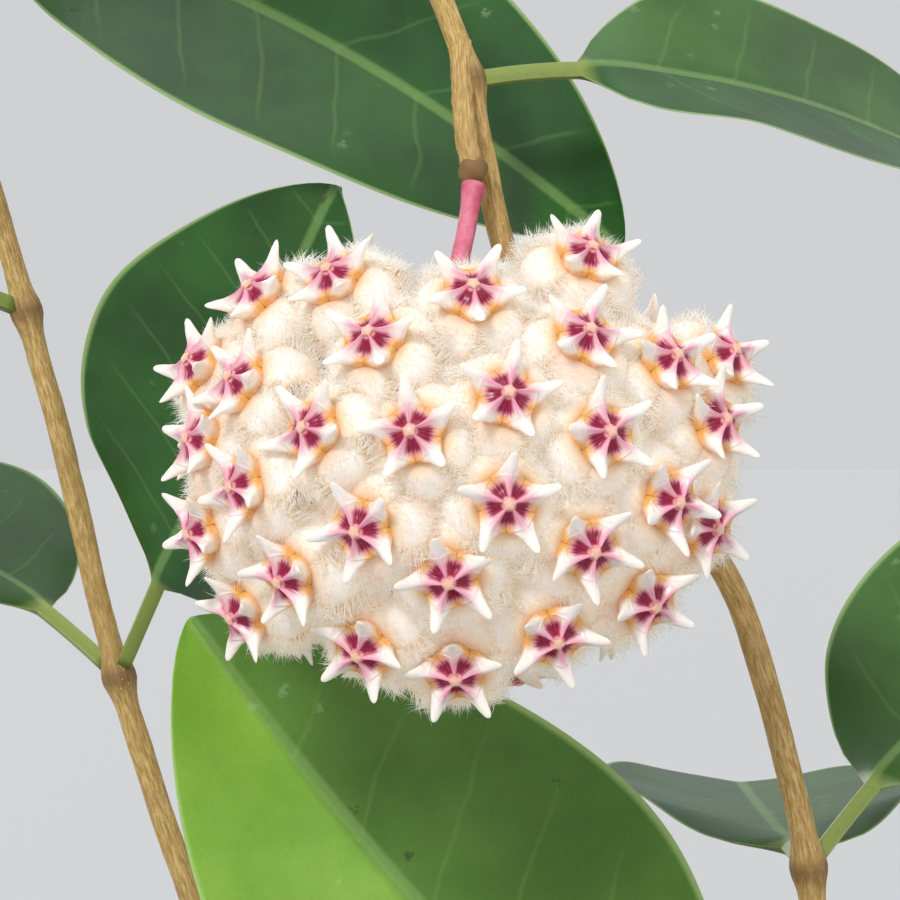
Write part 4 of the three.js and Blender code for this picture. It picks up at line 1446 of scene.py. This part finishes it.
def stalkDown(route, chance):  # roots, headings, bends and lengths
    count = stalks["downCount"]
    spots = chance.uniform(*stalks["downOver"], count)
    outs = unit(chance.normal(0, 1, (count, 3)))
    along = route.heading(spots)
    outs = unit(outs - along * (outs * along).sum(-1, keepdims=True))
    bends = chance.normal(0, stalks["downBend"], (count, 3))
    lengths = chance.uniform(*stalks["downLength"], count)
    return route.at(spots) + outs * stalks["radius"], outs + along * stalks["downForward"], bends, lengths


def makeHub(places):
    chance = np.random.default_rng(31)
    hub = np.array(head["centre"]) + stalks["hubOffset"]
    sepal = sepalSections()
    flowerEnd, hubEnd = stalks["flares"]
    form, down = Form(), Form()
    for place in places:
        seat = np.array(place @ Vector((0, 0, -stalks["seat"] * mm))) / mm
        look = np.array(place.to_3x3() @ Vector((0, 0, 1)))
        bend = seat - look * stalks["bendBack"]
        bend = bend + (hub - bend) * stalks["gather"]
        route = throughBend(hub, bend, seat + look * stalks["sink"])
        shares = np.linspace(0.02, 1, stalks["stations"])
        radii = 1 + flowerEnd * smoothstep(shares, 0.8, 1) + hubEnd * smoothstep(shares, 0.15, 0)
        form.addLoft(tubeSections(route, shares, stalks["radius"] * radii, stalks["sides"], (0.3, 0.2, 1)))
        matrix = np.array(place)
        for angle in ringAngles(stalks["sepalCount"]):
            turned = turnedBy(sepal, angle + chance.uniform(0, stalks["sepalTurn"]))
            form.addLoft(turned @ matrix[:3, :3].T + matrix[:3, 3] / mm)
        addHairs(down, *stalkDown(route, chance), stalks["downRadius"])
    form.addLoft(ballSections(stalks["hubRadius"], 20, 36, stalks["hubWaves"]) + hub)
    form.piece("flowerStalks", stalkFinish("roseStalk", "flower"), "corolla", ["umbel"])
    down.piece("stalkDown", hairFinish(), "corolla", ["umbel"])


def makeStems():
    bark = barkFinish()
    chance = np.random.default_rng(17)
    radii = stems["radius"], stems["tipRadius"]
    main, side = ((stemRoutes[name], radii, knotShares(name), True) for name in ("main", "side"))
    spur = (stemRoutes["spur"], stems["spurRadii"], [], False)
    makeStemPiece("mainStem", "stem_main", [main, spur], bark, chance)
    makeStemPiece("sideStem", "stem_side", [side], bark, chance)
    knotEnd, hubEnd = stems["peduncleSwell"]
    shares = np.linspace(0, 1, 60)
    swell = knotEnd * smoothstep(shares, 0.12, 0) + hubEnd * smoothstep(shares, 0.86, 1)
    form = Form()
    form.addLoft(tubeSections(stemRoutes["peduncle"], shares, stems["peduncleRadius"] * (0.95 + swell), 24))
    form.piece("pinkPeduncle", stalkFinish("pinkStalk", "peduncle"), "peduncle", ["peduncle"])


def makeLeaves():
    finish = leafFinish()
    for i, leaf in enumerate(leafShape["all"], 1):
        makeLeaf(f"hoyaLeaf_{i:02d}", f"leaf_{i:02d}", leaf, finish, np.random.default_rng(60 + i))


makeStudio()
print("studio and camera")
flowerSpots = makeFlowers()
print("flowers")
makeHub(flowerSpots)
print("flower stalks")
makeStems()
print("stems")
makeLeaves()
print("leaves")
makePot()
makeSoil()
print("pot and soil")
